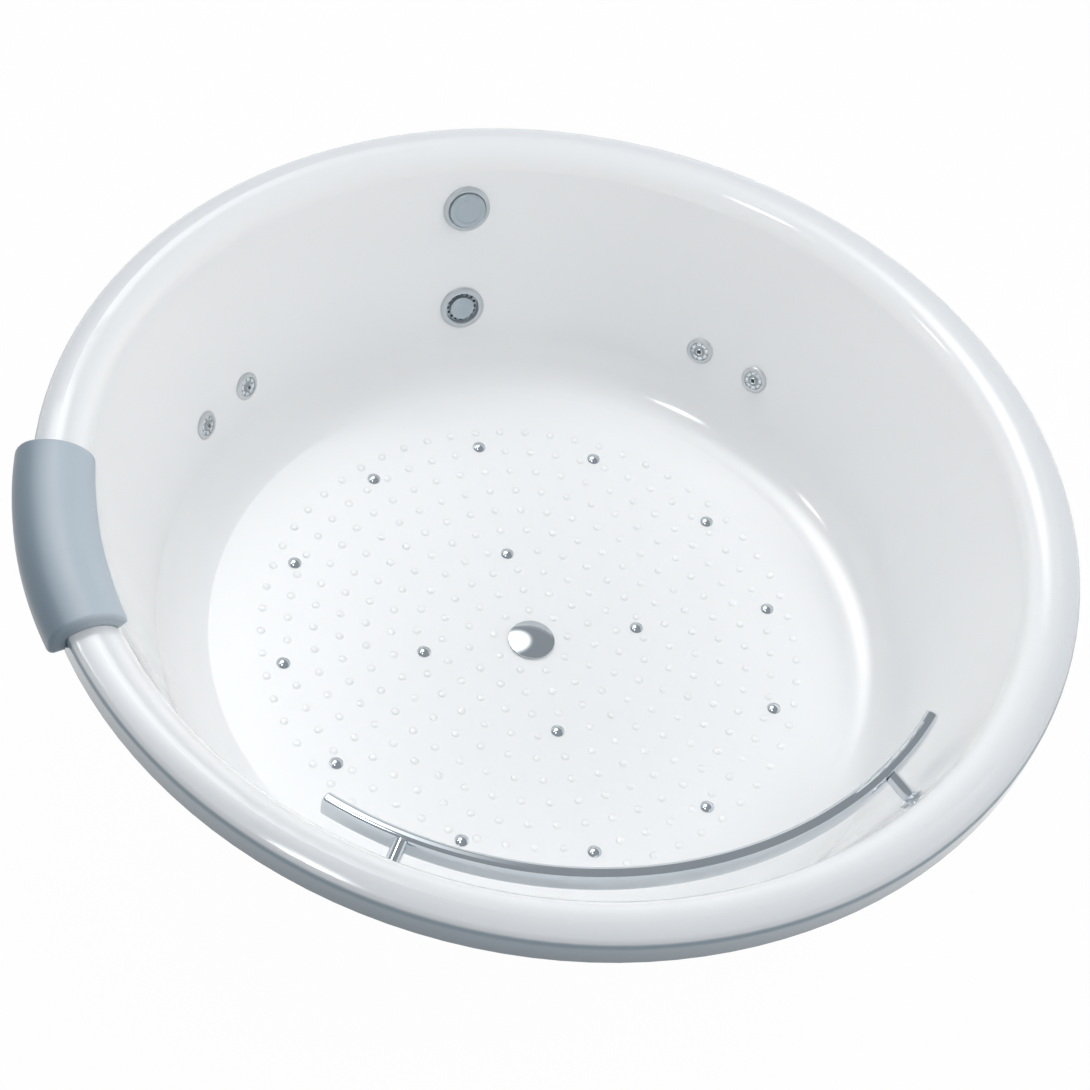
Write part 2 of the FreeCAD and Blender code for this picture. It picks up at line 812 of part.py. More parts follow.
chamber_top = S.waste_chamber_top + drain_to_floor
chamber_bottom = S.waste_chamber_bottom + drain_to_floor
dip_bottom = S.trap_bottom + drain_to_floor + S.plastic_wall * 4
chamber_bore = S.waste_chamber_radius - S.plastic_wall
dip_bore = S.dip_tube_radius - S.plastic_wall
collar_top = seal_bottom - S.seat_gap
collar_bottom = collar_top - S.plastic_wall
waste_turned = turned("waste_turned", [
    (tail_socket, collar_top), (S.waste_collar_radius, collar_top), (S.waste_collar_radius, collar_bottom),
    (tail_socket + S.plastic_wall, collar_bottom), (tail_socket + S.plastic_wall, chamber_top),
    (S.waste_chamber_radius, chamber_top), (S.waste_chamber_radius, chamber_bottom),
    (S.dip_tube_radius, chamber_bottom), (S.dip_tube_radius, dip_bottom), (dip_bore, dip_bottom),
    (dip_bore, chamber_bottom + S.plastic_wall), (chamber_bore, chamber_bottom + S.plastic_wall),
    (chamber_bore, chamber_top - S.plastic_wall), (tail_socket, chamber_top - S.plastic_wall)],
    floor_centre)

inlet_way = around(S.overflow_pipe_azimuth, 1, 0) - around(S.overflow_pipe_azimuth, 0, 0)
inlet_end = float(S.waste_chamber_radius + S.spigot_length)
inlet_centre = Vector(0, 0, level(S.overflow_pipe_height))
inlet_turn = Rotation(UP, inlet_way)
inlet_tube = cylinder("waste_inlet", S.overflow_pipe_radius, S.waste_chamber_radius * 0.5 + S.spigot_length,
                      Placement(inlet_centre + inlet_way * (float(S.waste_chamber_radius) * 0.5), inlet_turn))
inlet_bore = cylinder("waste_inlet_bore", S.overflow_pipe_radius - S.pipe_wall,
                      S.waste_chamber_radius + S.spigot_length, Placement(inlet_centre, inlet_turn))
waste_room = standing(chamber_bore, S.floor_level + S.waste_chamber_bottom + S.plastic_wall,
                      S.waste_chamber_top - S.waste_chamber_bottom - S.plastic_wall * 2, "waste_room")
keep(cut("waste_body", fused("waste_blank", waste_turned, inlet_tube), inlet_bore, waste_room))

trap_top = chamber_bottom - S.seat_gap
trap_floor = S.trap_bottom + drain_to_floor
trap_bore = S.trap_radius - S.plastic_wall
dip_hole = S.dip_tube_radius + S.seat_gap
trap_cup = turned("trap_cup_turned", [
    (dip_hole, trap_top - S.plastic_wall), (trap_bore, trap_top - S.plastic_wall),
    (trap_bore, trap_floor + S.plastic_wall), (0, trap_floor + S.plastic_wall), (0, trap_floor),
    (S.trap_radius, trap_floor), (S.trap_radius, trap_top), (dip_hole, trap_top)], floor_centre)
outlet_turn = Rotation(UP, Vector(0, -1, 0))
outlet_centre = Vector(0, 0, level(S.outlet_height))
outlet_tube = cylinder("trap_outlet", S.outlet_radius, S.outlet_length + S.trap_radius / 2,
                       Placement(outlet_centre - Vector(0, float(S.trap_radius) / 2, 0), outlet_turn))
stop_start = trap_bore
outlet_stop = cylinder("trap_outlet_stop", S.outlet_radius + S.outlet_stop_edge,
                       S.trap_radius - stop_start + S.outlet_stop_length,
                       Placement(outlet_centre - Vector(0, float(stop_start), 0), outlet_turn))
outlet_bore = cylinder("trap_outlet_bore", S.outlet_radius - S.pipe_wall, S.outlet_length + S.trap_radius,
                       Placement(outlet_centre, outlet_turn))
trap_room = standing(trap_bore, S.floor_level + S.trap_bottom + S.plastic_wall,
                     S.waste_chamber_bottom - S.trap_bottom - S.plastic_wall * 2 - S.seat_gap, "trap_room")
keep(cut("trap_cup", fused("trap_blank", trap_cup, outlet_tube, outlet_stop), outlet_bore, trap_room))


# ---------------------------------------------------------------- overflow and its pipe

overflow_place = on_wall(overflow_azimuth, S.overflow_height)
overflow_seat = Size(seat_on_wall(S.overflow_flange_radius, S.overflow_height),
                     "(Sizes.overflow_flange_radius ^ 2 / %.3f + %.3f)"
                     % (2 * wall_radius(float(S.overflow_height)), SEAL_LINE))
spindle_bore = S.spindle_radius + S.running_gap
flange_plate = overflow_seat + S.overflow_flange_thickness / 2
overflow_ring = turned("overflow_ring", [
    (spindle_bore, overflow_seat), (S.overflow_flange_radius, overflow_seat),
    (S.overflow_flange_radius, overflow_seat + S.overflow_flange_thickness * 0.4, S.overflow_flange_radius * 0.4),
    (S.knob_radius + S.hole_clearance * 5, overflow_seat + S.overflow_flange_thickness),
    (S.knob_radius + S.hole_clearance * 2, flange_plate), (spindle_bore, flange_plate)], overflow_place)
slot_circle = (S.overflow_neck_radius + S.spindle_radius) / 2
slots = []
for number in range(6):
    way = Rotation(UP, 60 * number).multVec(Vector(float(slot_circle), 0, float(-S.overflow_flange_thickness)))
    slots.append(cylinder("overflow_slot_%d" % number, S.spindle_radius, S.overflow_flange_thickness * 4,
                          overflow_place.multiply(Placement(way, Rotation()))))
keep(cut("overflow_flange", overflow_ring, *slots))

knob_base = flange_plate + S.seat_gap
knob_top = knob_base + S.knob_thickness
crank_top = -shell_depth - S.overflow_seal_thickness * 2
keep(turned("overflow_knob", [
    (0, crank_top - S.spindle_radius), (S.spindle_radius * 2, crank_top - S.spindle_radius),
    (S.spindle_radius * 2, crank_top), (S.spindle_radius, crank_top), (S.spindle_radius, knob_base),
    (S.knob_radius - S.knob_edge, knob_base), (S.knob_radius, knob_base + S.knob_edge),
    (S.knob_radius, knob_top - S.knob_edge), (S.knob_radius - S.knob_edge, knob_top),
    (S.knob_radius - S.knob_edge * 4, knob_top), (S.knob_radius - S.knob_edge * 5, knob_top - S.knob_edge / 2),
    (0, knob_top - S.knob_edge / 2)], overflow_place))

overflow_seal_top = Size(behind_shell, "(0 - %s - Sizes.seat_gap)" % shell_depth.formula)
overflow_seal_bottom = overflow_seal_top - S.overflow_seal_thickness
overflow_bore = S.overflow_neck_radius - S.plastic_wall
keep(turned("overflow_seal", [
    (S.overflow_neck_radius + S.seat_gap, overflow_seal_bottom), (S.overflow_body_radius, overflow_seal_bottom),
    (S.overflow_body_radius, overflow_seal_top), (S.overflow_neck_radius + S.seat_gap, overflow_seal_top)],
    overflow_place))
body_bottom = -S.overflow_body_depth
body_bore = S.overflow_body_radius - S.plastic_wall
shoulder = overflow_seal_bottom - S.seat_gap
neck_top = overflow_seat - S.seat_gap
overflow_cup = turned("overflow_cup", [
    (0, body_bottom), (S.overflow_body_radius, body_bottom), (S.overflow_body_radius, shoulder),
    (S.overflow_neck_radius, shoulder), (S.overflow_neck_radius, neck_top), (overflow_bore, neck_top),
    (overflow_bore, shoulder - S.plastic_wall), (body_bore, shoulder - S.plastic_wall),
    (body_bore, body_bottom + S.plastic_wall), (0, body_bottom + S.plastic_wall)], overflow_place)
overflow_middle = behind_wall(overflow_azimuth, S.overflow_height, S.pipe_depth)
knee_height = float(S.overflow_height) - 2.1 * float(S.overflow_flange_radius)
overflow_knee = behind_wall(S.overflow_pipe_azimuth, knee_height, S.pipe_depth)
pipe_way = (overflow_knee - overflow_middle).normalize()
pipe_start = overflow_middle + pipe_way * float(S.overflow_body_radius + S.spigot_length / 2)
spigot_turn = Rotation(UP, pipe_way)
spigot = cylinder("overflow_spigot", S.overflow_pipe_radius, (S.overflow_body_radius + S.spigot_length) / 2,
                  Placement(overflow_middle + pipe_way * (float(S.overflow_body_radius) / 2), spigot_turn))
spigot_bore = cylinder("overflow_spigot_bore", S.overflow_pipe_radius - S.pipe_wall,
                       S.overflow_body_radius + S.spigot_length, Placement(overflow_middle, spigot_turn))
room_depth = S.overflow_body_depth - S.plastic_wall
overflow_room = cylinder("overflow_room", body_bore, room_depth + shoulder - S.plastic_wall,
                         overflow_place.multiply(Placement(Vector(0, 0, -float(room_depth)), Rotation())))
keep(cut("overflow_body", fused("overflow_blank", overflow_cup, spigot), spigot_bore, overflow_room))

pipe_turn_in = behind_wall(S.overflow_pipe_azimuth, float(S.overflow_pipe_height), S.pipe_depth)
pipe_low = around(S.overflow_pipe_azimuth, math.hypot(pipe_turn_in.x, pipe_turn_in.y), S.overflow_pipe_height)
pipe_end = around(S.overflow_pipe_azimuth, inlet_end, S.overflow_pipe_height)
keep(hose("overflow_pipe", [pipe_start, overflow_knee, pipe_low, pipe_end], S.pipe_bend,
          S.overflow_pipe_radius, S.pipe_wall))

cable_knee = behind_wall(S.cable_azimuth, knee_height + float(S.cable_bend), S.cable_depth)
cable_centre = behind_wall(overflow_azimuth, S.overflow_height, S.cable_depth)
cable_way = (cable_knee - cable_centre).normalize()
cable_start = cable_centre + cable_way * float(S.overflow_body_radius + S.seat_gap * 3)
cable_in = behind_wall(S.cable_azimuth, float(S.cable_height), S.cable_depth)
cable_low = Vector(cable_in.x, cable_in.y, level(S.cable_height))
cable_corner = Vector(cable_in.x, -cable_in.x, level(S.cable_height))
cable_stop = float(S.waste_chamber_radius) + float(S.seat_gap)
cable_end = around(135, cable_stop, S.cable_height)
keep(hose("release_cable", [cable_start, cable_knee, cable_low, cable_corner, cable_end], S.cable_bend,
          S.cable_radius))


# ---------------------------------------------------------------- suction fitting and its pipe

suction_place = on_wall(overflow_azimuth, S.suction_height)
suction_seat = Size(seat_on_wall(S.suction_flange_radius, S.suction_height),
                    "(Sizes.suction_flange_radius ^ 2 / %.3f + %.3f)"
                    % (2 * wall_radius(float(S.suction_height)), SEAL_LINE))
suction_front = suction_seat + S.suction_flange_thickness
keep(turned("suction_flange", [
    (S.suction_mouth_radius, -S.suction_neck_length), (S.suction_neck_radius, -S.suction_neck_length),
    (S.suction_neck_radius, suction_seat), (S.suction_flange_radius, suction_seat),
    (S.suction_flange_radius, suction_seat + S.suction_flange_thickness * 0.3, S.suction_flange_radius * 0.3),
    (S.suction_mouth_radius + S.hole_clearance, suction_front),
    (S.suction_mouth_radius, suction_front - S.hole_clearance)], suction_place))

guard_back = -S.guard_depth
guard_top = guard_back + S.guard_thickness
guard_rim = S.suction_mouth_radius - S.seat_gap
cover_front = suction_front - S.seat_gap
cover_back = cover_front - S.suction_cover_thickness
cover_crown = S.suction_cover_thickness / 2
guard_turned = turned("suction_guard_turned", [
    (0, guard_back), (guard_rim, guard_back), (guard_rim, guard_top), (S.suction_cover_radius * 0.4, guard_top),
    (S.suction_cover_radius * 0.4, cover_back), (S.suction_cover_radius, cover_back),
    (S.suction_cover_radius, cover_front - cover_crown, dome_radius(S.suction_cover_radius, cover_crown)),
    (0, cover_front)], suction_place)
guard_holes = []
for ring, (share, count) in enumerate(((1.0, 10), (1.55, 16))):
    for number in range(count):
        radius = float(S.guard_hole_circle) * share
        way = Rotation(UP, 360 * number / count).multVec(Vector(radius, 0, float(guard_back) - OVERRUN))
        guard_holes.append(cylinder("guard_hole_%d_%d" % (ring, number), S.guard_hole_radius / (1 + ring * 0.25),
                                    S.guard_thickness + 2 * OVERRUN, suction_place.multiply(Placement(way, Rotation()))))
keep(cut("suction_guard", guard_turned, *guard_holes))

suction_rear = -S.suction_body_depth
suction_inner = S.suction_neck_radius + S.seat_gap
suction_bore = S.suction_body_radius - S.plastic_wall
body_front = Size(behind_shell, "(0 - %s - Sizes.seat_gap)" % shell_depth.formula)
suction_cup = turned("suction_cup", [
    (0, suction_rear), (S.suction_body_radius, suction_rear), (S.suction_body_radius, body_front),
    (suction_inner, body_front), (suction_inner, suction_rear + S.plastic_wall), (0, suction_rear + S.plastic_wall)],
    suction_place)
suction_middle_depth = float(S.suction_body_depth) - float(S.suction_pipe_radius) - 2
suction_middle = behind_wall(overflow_azimuth, S.suction_height, suction_middle_depth)
side_turn = Rotation(UP, Vector(1, 0, 0))
suction_spigot = cylinder("suction_spigot", S.suction_pipe_radius,
                          S.suction_spigot_length - S.suction_body_radius / 2,
                          Placement(suction_middle + Vector(float(S.suction_body_radius) / 2, 0, 0), side_turn))
suction_spigot_bore = cylinder("suction_spigot_bore", S.suction_pipe_radius - S.pipe_wall,
                               S.suction_spigot_length, Placement(suction_middle, side_turn))
suction_room_depth = S.suction_body_depth - S.plastic_wall
suction_room = cylinder("suction_room", suction_inner, suction_room_depth,
                        suction_place.multiply(Placement(Vector(0, 0, -float(suction_room_depth)), Rotation())))
keep(cut("suction_body", fused("suction_blank", suction_cup, suction_spigot), suction_spigot_bore, suction_room))

jet_sample = on_wall(overflow_azimuth, S.jet_height)
manifold_sample = jet_sample.multVec(Vector(0, -float(S.manifold_drop), -float(S.jet_feed_depth)))
manifold_ring = manifold_sample.y
manifold_height = manifold_sample.z - float(S.floor_level)
suction_out = manifold_ring + float(S.manifold_radius) + float(S.suction_pipe_radius) + 10
reach = float(S.suction_pipe_reach)
pump_axis_z = level(S.pump_height)
suction_z = suction_middle.z
keep(hose("suction_pipe", [
    Vector(float(S.suction_spigot_length), suction_middle.y, suction_z), Vector(reach, suction_middle.y, suction_z),
    Vector(reach, suction_out, suction_z), Vector(reach, suction_out, pump_axis_z),
    Vector(reach, equipment_y, pump_axis_z),
    Vector(float(S.pump_start) - float(S.pump_inlet_length), equipment_y, pump_axis_z)],
    S.suction_bend, S.suction_pipe_radius, S.pipe_wall))


# ---------------------------------------------------------------- water jets and their manifold

jet_seat = Size(seat_on_wall(S.jet_flange_radius, S.jet_height),
                "(Sizes.jet_flange_radius ^ 2 / %.3f + %.3f)"
                % (2 * wall_radius(float(S.jet_height)), SEAL_LINE))
ring_bore = S.jet_ring_radius + S.running_gap
jet_front = jet_seat + S.jet_flange_thickness
ball_centre = -S.jet_ball_depth
ring_front = S.jet_ring_front
ring_back = ring_front - S.jet_ring_length
jet_places = [on_wall(azimuth, S.jet_height) for azimuth in jet_azimuths]
for number, place in enumerate(jet_places, start=1):
    keep(turned("jet_flange_%d" % number, [
        (ring_bore, -S.jet_neck_length), (S.jet_neck_radius, -S.jet_neck_length), (S.jet_neck_radius, jet_seat),
        (S.jet_flange_radius, jet_seat),
        (S.jet_flange_radius, jet_seat + S.jet_flange_thickness * 0.3, S.jet_flange_radius * 0.35),
        (ring_bore + S.hole_clearance * 3, jet_front), (ring_bore, jet_front - S.hole_clearance * 3)], place))
    ring_blank = turned("jet_ring_blank_%d" % number, [
        (0, ring_back), (S.jet_ring_radius, ring_back), (S.jet_ring_radius, ring_front - S.hole_clearance * 2),
        (S.jet_ring_radius - S.hole_clearance * 2, ring_front), (0, ring_front)], place)
    ball_room = bind(doc.addObject("Part::Sphere", "jet_seat_%d" % number),
                     Radius=S.jet_ball_radius + S.jet_ball_gap)
    ball_room.Placement = place.multiply(Placement(Vector(0, 0, float(ball_centre)), Rotation()))
    ring_mouth = cylinder("jet_mouth_%d" % number, S.jet_mouth_radius, S.jet_ring_length * 2,
                          place.multiply(Placement(Vector(0, 0, -float(S.jet_ring_length)), Rotation())))
    keep(cut("jet_ring_%d" % number, ring_blank, ball_room, ring_mouth))
    ball = bind(doc.addObject("Part::Sphere", "jet_ball_%d" % number), Radius=S.jet_ball_radius)
    ball.Placement = ball_room.Placement
    eye = cylinder("jet_eye_%d" % number, S.jet_eye_radius, S.jet_ball_radius * 2,
                   place.multiply(Placement(Vector(0, 0, float(ball_centre - S.jet_ball_radius)), Rotation())))
    throat = cylinder("jet_throat_%d" % number, S.jet_mouth_radius * 2, S.jet_ball_radius,
                      place.multiply(Placement(Vector(0, 0, float(ball_centre - S.jet_ball_radius * 1.8)),
                                               Rotation())))
    keep(cut("jet_nozzle_%d" % number, ball, eye, throat))

jet_nut = shaped("jet_nut_master",
                 hexagon(float(S.jet_nut_radius), float(S.jet_nut_thickness),
                         float(S.jet_neck_radius + S.seat_gap)),
                 Placement(Vector(0, 0, behind_shell - float(S.jet_nut_thickness)), Rotation()))
keep(repeated("jet_lock_nuts", jet_nut, jet_places))
jet_body_front = Size(behind_shell, "(0 - %s - Sizes.seat_gap)" % shell_depth.formula) \
    - S.jet_nut_thickness - S.seat_gap
jet_socket = S.jet_neck_radius + S.seat_gap
chamber_front = -S.jet_neck_length - S.seat_gap
chamber_radius = S.jet_body_radius - S.plastic_wall * 2
jet_cup = turned("jet_cup", [
    (0, -S.jet_body_depth), (S.jet_body_radius, -S.jet_body_depth), (S.jet_body_radius, jet_body_front),
    (jet_socket, jet_body_front), (jet_socket, chamber_front), (chamber_radius, chamber_front),
    (chamber_radius, -S.jet_body_depth + S.plastic_wall), (0, -S.jet_body_depth + S.plastic_wall)])
down_turn = Rotation(UP, Vector(0, -1, 0))
feed_start = Vector(0, -float(chamber_radius), -float(S.jet_feed_depth))
jet_feed = cylinder("jet_feed", S.jet_feed_radius, S.jet_feed_length - chamber_radius,
                    Placement(feed_start, down_turn))
jet_feed_bore = cylinder("jet_feed_bore", S.jet_feed_radius - S.pipe_wall, S.jet_feed_length,
                         Placement(Vector(0, 0, -float(S.jet_feed_depth)), down_turn))
jet_body = cut("jet_body_master", fused("jet_body_blank", jet_cup, jet_feed), jet_feed_bore)
keep(repeated("jet_bodies", jet_body, jet_places))


def ring_sector(radius, height, tube, first, last):
    """A piece of a level round pipe between two azimuths."""
    circle = Part.Circle(around(first, radius, height), Vector(
        -math.sin(math.radians(first)), math.cos(math.radians(first)), 0), tube)
    face = Part.Face(Part.Wire([circle.toShape()]))
    return face.revolve(ORIGIN, UP, last - first)


def straight(start, end, radius):
    """A round rod between two points."""
    return Part.makeCylinder(radius, (end - start).Length, start, end - start)


pump_riser_x = float(S.pump_start) + float(S.volute_length) / 2
riser_azimuth = math.degrees(math.acos(pump_riser_x / manifold_ring))


def manifold_part(shrink):
    """The manifold's outer form, or its bore where the pipe wall is taken off."""
    overhang = float(S.manifold_overhang) - math.degrees(shrink / manifold_ring)
    parts = [ring_sector(manifold_ring, manifold_height, float(S.manifold_radius) - shrink,
                         min(jet_azimuths) - overhang, max(jet_azimuths) + overhang)]
    for place in jet_places:
        low = place.multVec(Vector(0, -float(S.manifold_drop), -float(S.jet_feed_depth)))
        high = place.multVec(Vector(0, -float(S.jet_feed_length), -float(S.jet_feed_depth)))
        parts.append(straight(low, high, float(S.jet_feed_radius) - shrink))
    join = around(riser_azimuth, manifold_ring, manifold_height)
    bend = Vector(pump_riser_x, equipment_y, level(S.pump_riser_bend_height))
    foot = Vector(pump_riser_x, equipment_y, level(S.pump_riser_start))
    parts.append(straight(foot, bend, float(S.manifold_radius) - shrink))
    parts.append(straight(bend, join, float(S.manifold_radius) - shrink))
    parts.append(Part.makeSphere(float(S.manifold_radius) - shrink, bend))
    return parts[0].multiFuse(parts[1:])


manifold = manifold_part(0).cut(manifold_part(float(S.pipe_wall)))
keep(shaped("water_manifold", manifold.removeSplitter()))


# ---------------------------------------------------------------- air jets and air pipes

air_cap_seat = S.running_gap
cap_top = air_cap_seat + S.air_cap_edge
air_cap = turned("air_cap_master", [
    (0, -shell_depth), (S.air_cap_stem_radius, -shell_depth), (S.air_cap_stem_radius, air_cap_seat),
    (S.air_cap_radius, air_cap_seat), (S.air_cap_radius, cap_top, dome_radius(S.air_cap_radius, S.air_cap_rise)),
    (0, cap_top + S.air_cap_rise)])
keep(repeated("air_jet_caps", air_cap, air_places))

air_pipe_drop = float(S.air_pipe_height)
body_top = Size(behind_shell, "(0 - %s - Sizes.seat_gap)" % shell_depth.formula)


def air_depth(radius):
    """Distance from the floor, square to it, down to the air pipe's centre line."""
    tilt = math.asin(radius / dish_radius)
    return (floor_height(radius) - air_pipe_drop) / math.cos(tilt)


def air_pipe_ring(radius):
    """Radius of the air pipe under a ring of jets."""
    return radius + air_depth(radius) * radius / dish_radius


def air_body(label, radius):
    length = air_depth(radius) - float(S.air_pipe_radius) - float(S.seat_gap)
    return turned(label, [
        (S.air_body_bore, -length), (S.air_body_radius, -length),
        (S.air_body_radius, body_top - S.air_body_flange_thickness),
        (S.air_body_flange_radius, body_top - S.air_body_flange_thickness),
        (S.air_body_flange_radius, body_top), (S.air_body_bore, body_top)])


outer_count = len(outer_air_azimuths)
inner_radius = float(S.air_inner_radius)
outer_bodies = repeated("air_bodies_outer", air_body("air_body_outer", air_ring_radius),
                        air_places[:outer_count])
inner_bodies = repeated("air_bodies_inner", air_body("air_body_inner", inner_radius),
                        air_places[outer_count:])
keep(shaped("air_jet_bodies", Part.Compound(outer_bodies.Shape.Solids + inner_bodies.Shape.Solids)))


def pipe_ring(radius, tube, wall):
    """A closed round pipe at the air pipes' height."""
    centre = Vector(0, 0, level(air_pipe_drop))
    return Part.makeTorus(radius, tube, centre).cut(Part.makeTorus(radius, tube - wall, centre))


outer_pipe = air_pipe_ring(air_ring_radius)
inner_pipe = air_pipe_ring(inner_radius)
air_tube = float(S.air_pipe_radius)
air_wall = float(S.pipe_wall)
keep(shaped("air_ring_outer", pipe_ring(outer_pipe, air_tube, air_wall)))
spoke_tube = float(S.air_spoke_radius)
inner_ring = pipe_ring(inner_pipe, air_tube, air_wall)
for azimuth in (0, 180):
    near = around(azimuth, inner_pipe + air_tube - air_wall / 2, air_pipe_drop)
    far = around(azimuth, outer_pipe - air_tube - float(S.seat_gap), air_pipe_drop)
    inner_ring = inner_ring.fuse(straight(near, far, spoke_tube))
for azimuth in (0, 180):
    near = around(azimuth, inner_pipe, air_pipe_drop)
    far = around(azimuth, outer_pipe, air_pipe_drop)
    inner_ring = inner_ring.cut(straight(near, far, spoke_tube - air_wall))
keep(shaped("air_ring_inner", inner_ring))

blower_x = -float(S.blower_offset)
blower_azimuth = math.degrees(math.atan2(equipment_y, blower_x))
duct_out = wall_radius(float(S.air_duct_top)) + float(S.air_duct_out)
duct_start = around(blower_azimuth, duct_out, float(S.blower_top + S.blower_spigot_rise))
duct_end_radius = outer_pipe + air_tube + float(S.seat_gap)
keep(hose("air_duct", [
    duct_start, around(blower_azimuth, duct_out, S.air_duct_top), around(S.air_duct_azimuth, duct_out, S.air_duct_top),
    around(S.air_duct_azimuth, duct_out, air_pipe_drop),
    around(S.air_duct_azimuth, duct_end_radius, air_pipe_drop)],
    S.air_duct_bend, S.air_duct_radius, S.pipe_wall))


# ---------------------------------------------------------------- blower

tray_top = S.floor_level + S.tray_height + S.tray_sheet
blower_centre = Placement(Vector(blower_x, equipment_y, 0), Rotation())
blower_lid = S.floor_level + S.blower_top
shaft_hole = S.blower_shaft_radius + S.running_gap
blower_bore = S.blower_radius - S.blower_wall
lid_inside = blower_lid - S.blower_wall
boss_bottom = lid_inside - S.blower_wall * 2
blower_cup = turned("blower_cup", [
    (blower_bore, tray_top), (S.blower_radius, tray_top), (S.blower_radius, blower_lid - S.blower_wall * 2),
    (S.blower_radius - S.blower_wall * 2, blower_lid), (shaft_hole, blower_lid), (shaft_hole, boss_bottom),
    (shaft_hole + S.blower_wall, boss_bottom), (shaft_hole + S.blower_wall, lid_inside),
    (blower_bore, lid_inside)], blower_centre)
intake_holes = []
for number in range(int(float(S.blower_intakes))):
    turn = blower_azimuth + 180 + (number - (float(S.blower_intakes) - 1) / 2) * float(S.blower_intake_step)
    way = Rotation(UP, turn).multVec(Vector(float(S.blower_intake_circle), 0, float(lid_inside) - OVERRUN))
    intake_holes.append(cylinder("blower_intake_%d" % number, S.blower_intake_radius,
                                 S.blower_wall + 2 * OVERRUN,
                                 blower_centre.multiply(Placement(way, Rotation()))))
duct_foot = Vector(duct_start.x, duct_start.y, float(lid_inside) + OVERRUN)
duct_rise = duct_start.z - duct_foot.z
duct_spigot = cylinder("blower_spigot", S.air_duct_radius, worked_out(duct_rise),
                       Placement(duct_foot, Rotation()))
duct_hole = cylinder("blower_spigot_bore", S.air_duct_radius - S.pipe_wall, worked_out(duct_rise * 2),
                     Placement(duct_foot - UP * float(S.blower_wall + OVERRUN), Rotation()))
keep(cut("blower_housing", fused("blower_blank", blower_cup, duct_spigot), duct_hole, *intake_holes))

fan_base = tray_top + S.blower_wall * 2
fan_turned = turned("blower_fan_turned", [
    (0, fan_base), (S.blower_fan_radius, fan_base), (S.blower_fan_radius, fan_base + S.blower_wall / 2),
    (S.blower_hub_radius, fan_base + S.blower_wall / 2), (S.blower_hub_radius, fan_base + S.blower_fan_height),
    (S.blower_shaft_radius, fan_base + S.blower_fan_height), (S.blower_shaft_radius, lid_inside),
    (0, lid_inside)], blower_centre)
blades = []
for number in range(int(float(S.blower_blades))):
    blade = bind(doc.addObject("Part::Box", "blower_blade_%d" % number),
                 Length=S.blower_fan_radius - S.blower_hub_radius - OVERRUN, Width=S.blower_wall / 2,
                 Height=S.blower_fan_height)
    turn = Rotation(UP, 360 * number / float(S.blower_blades))
    blade.Placement = blower_centre.multiply(Placement(ORIGIN, turn)).multiply(
        Placement(Vector(float(S.blower_hub_radius) - OVERRUN, -float(S.blower_wall) / 4, float(fan_base)),
                  Rotation()))
    blades.append(blade)
keep(fused("blower_rotor", fan_turned, *blades))


# ---------------------------------------------------------------- pump

along_x = Rotation(Vector(0, 0, -1), Vector(0, 1, 0), Vector(1, 0, 0), "ZYX")
pump_place = Placement(Vector(float(S.pump_start), equipment_y, pump_axis_z), along_x)
shaft_bore = S.pump_shaft_radius + S.running_gap
volute_bore = S.volute_radius - S.volute_wall
inlet_radius = S.suction_pipe_radius
volute_turned = turned("volute_turned", [
    (inlet_radius - S.pipe_wall, -S.pump_inlet_length), (inlet_radius, -S.pump_inlet_length), (inlet_radius, 0),
    (S.volute_radius - S.volute_wall, 0), (S.volute_radius, S.volute_wall),
    (S.volute_radius, S.volute_length), (shaft_bore, S.volute_length),
    (shaft_bore, S.volute_length - S.volute_wall), (volute_bore, S.volute_length - S.volute_wall),
    (volute_bore, S.volute_wall), (inlet_radius - S.pipe_wall, S.volute_wall)], pump_place)
riser_foot = Vector(pump_riser_x, equipment_y, level(S.pump_riser_start))
outlet_drop = float(S.pump_riser_start) - float(S.pump_height) - float(volute_bore) + OVERRUN
port_depth = float(S.volute_wall * 2)
volute_spigot = cylinder("volute_spigot", S.manifold_radius, worked_out(outlet_drop),
                         Placement(riser_foot - UP * outlet_drop, Rotation()))
volute_port = cylinder("volute_port", S.manifold_radius - S.pipe_wall, worked_out(outlet_drop + 2 * port_depth),
                       Placement(riser_foot - UP * (outlet_drop + port_depth), Rotation()))
keep(cut("pump_volute", fused("volute_blank", volute_turned, volute_spigot), volute_port))

motor_start = S.volute_length + S.seat_gap
motor_end = motor_start + S.motor_length
motor_bore = S.motor_radius - S.motor_wall
motor_cup = turned("motor_cup", [
    (shaft_bore, motor_start), (S.motor_radius, motor_start), (S.motor_radius, motor_end - S.motor_wall),
    (S.motor_radius - S.motor_wall, motor_end), (0, motor_end), (0, motor_end - S.motor_wall),
    (motor_bore, motor_end - S.motor_wall), (motor_bore, motor_start + S.motor_wall),
    (shaft_bore, motor_start + S.motor_wall)], pump_place)
fins = []
for number in range(int(float(S.fin_count))):
    fin = bind(doc.addObject("Part::Box", "motor_fin_%d" % number),
               Length=S.fin_height + OVERRUN, Width=S.fin_thickness, Height=S.motor_length - S.motor_wall * 4)
    spin = Placement(ORIGIN, Rotation(UP, 360 * (number + 0.5) / float(S.fin_count)))
    spot = Vector(float(S.motor_radius) - OVERRUN, -float(S.fin_thickness) / 2,
                  float(motor_start) + 2 * float(S.motor_wall))
    fin.Placement = pump_place.multiply(spin).multiply(Placement(spot, Rotation()))
    fins.append(fin)
motor_middle = float(S.pump_start) + float(motor_start) + float(S.motor_length) / 2
saddle_low = Vector(motor_middle - float(S.saddle_length) / 2, equipment_y - float(S.saddle_width) / 2,
                    float(tray_top))
saddle_high = pump_axis_z - float(motor_bore) * 0.6
saddle = bind(doc.addObject("Part::Box", "motor_saddle"), Length=S.saddle_length, Width=S.saddle_width,
              Height=worked_out(saddle_high - saddle_low.z))
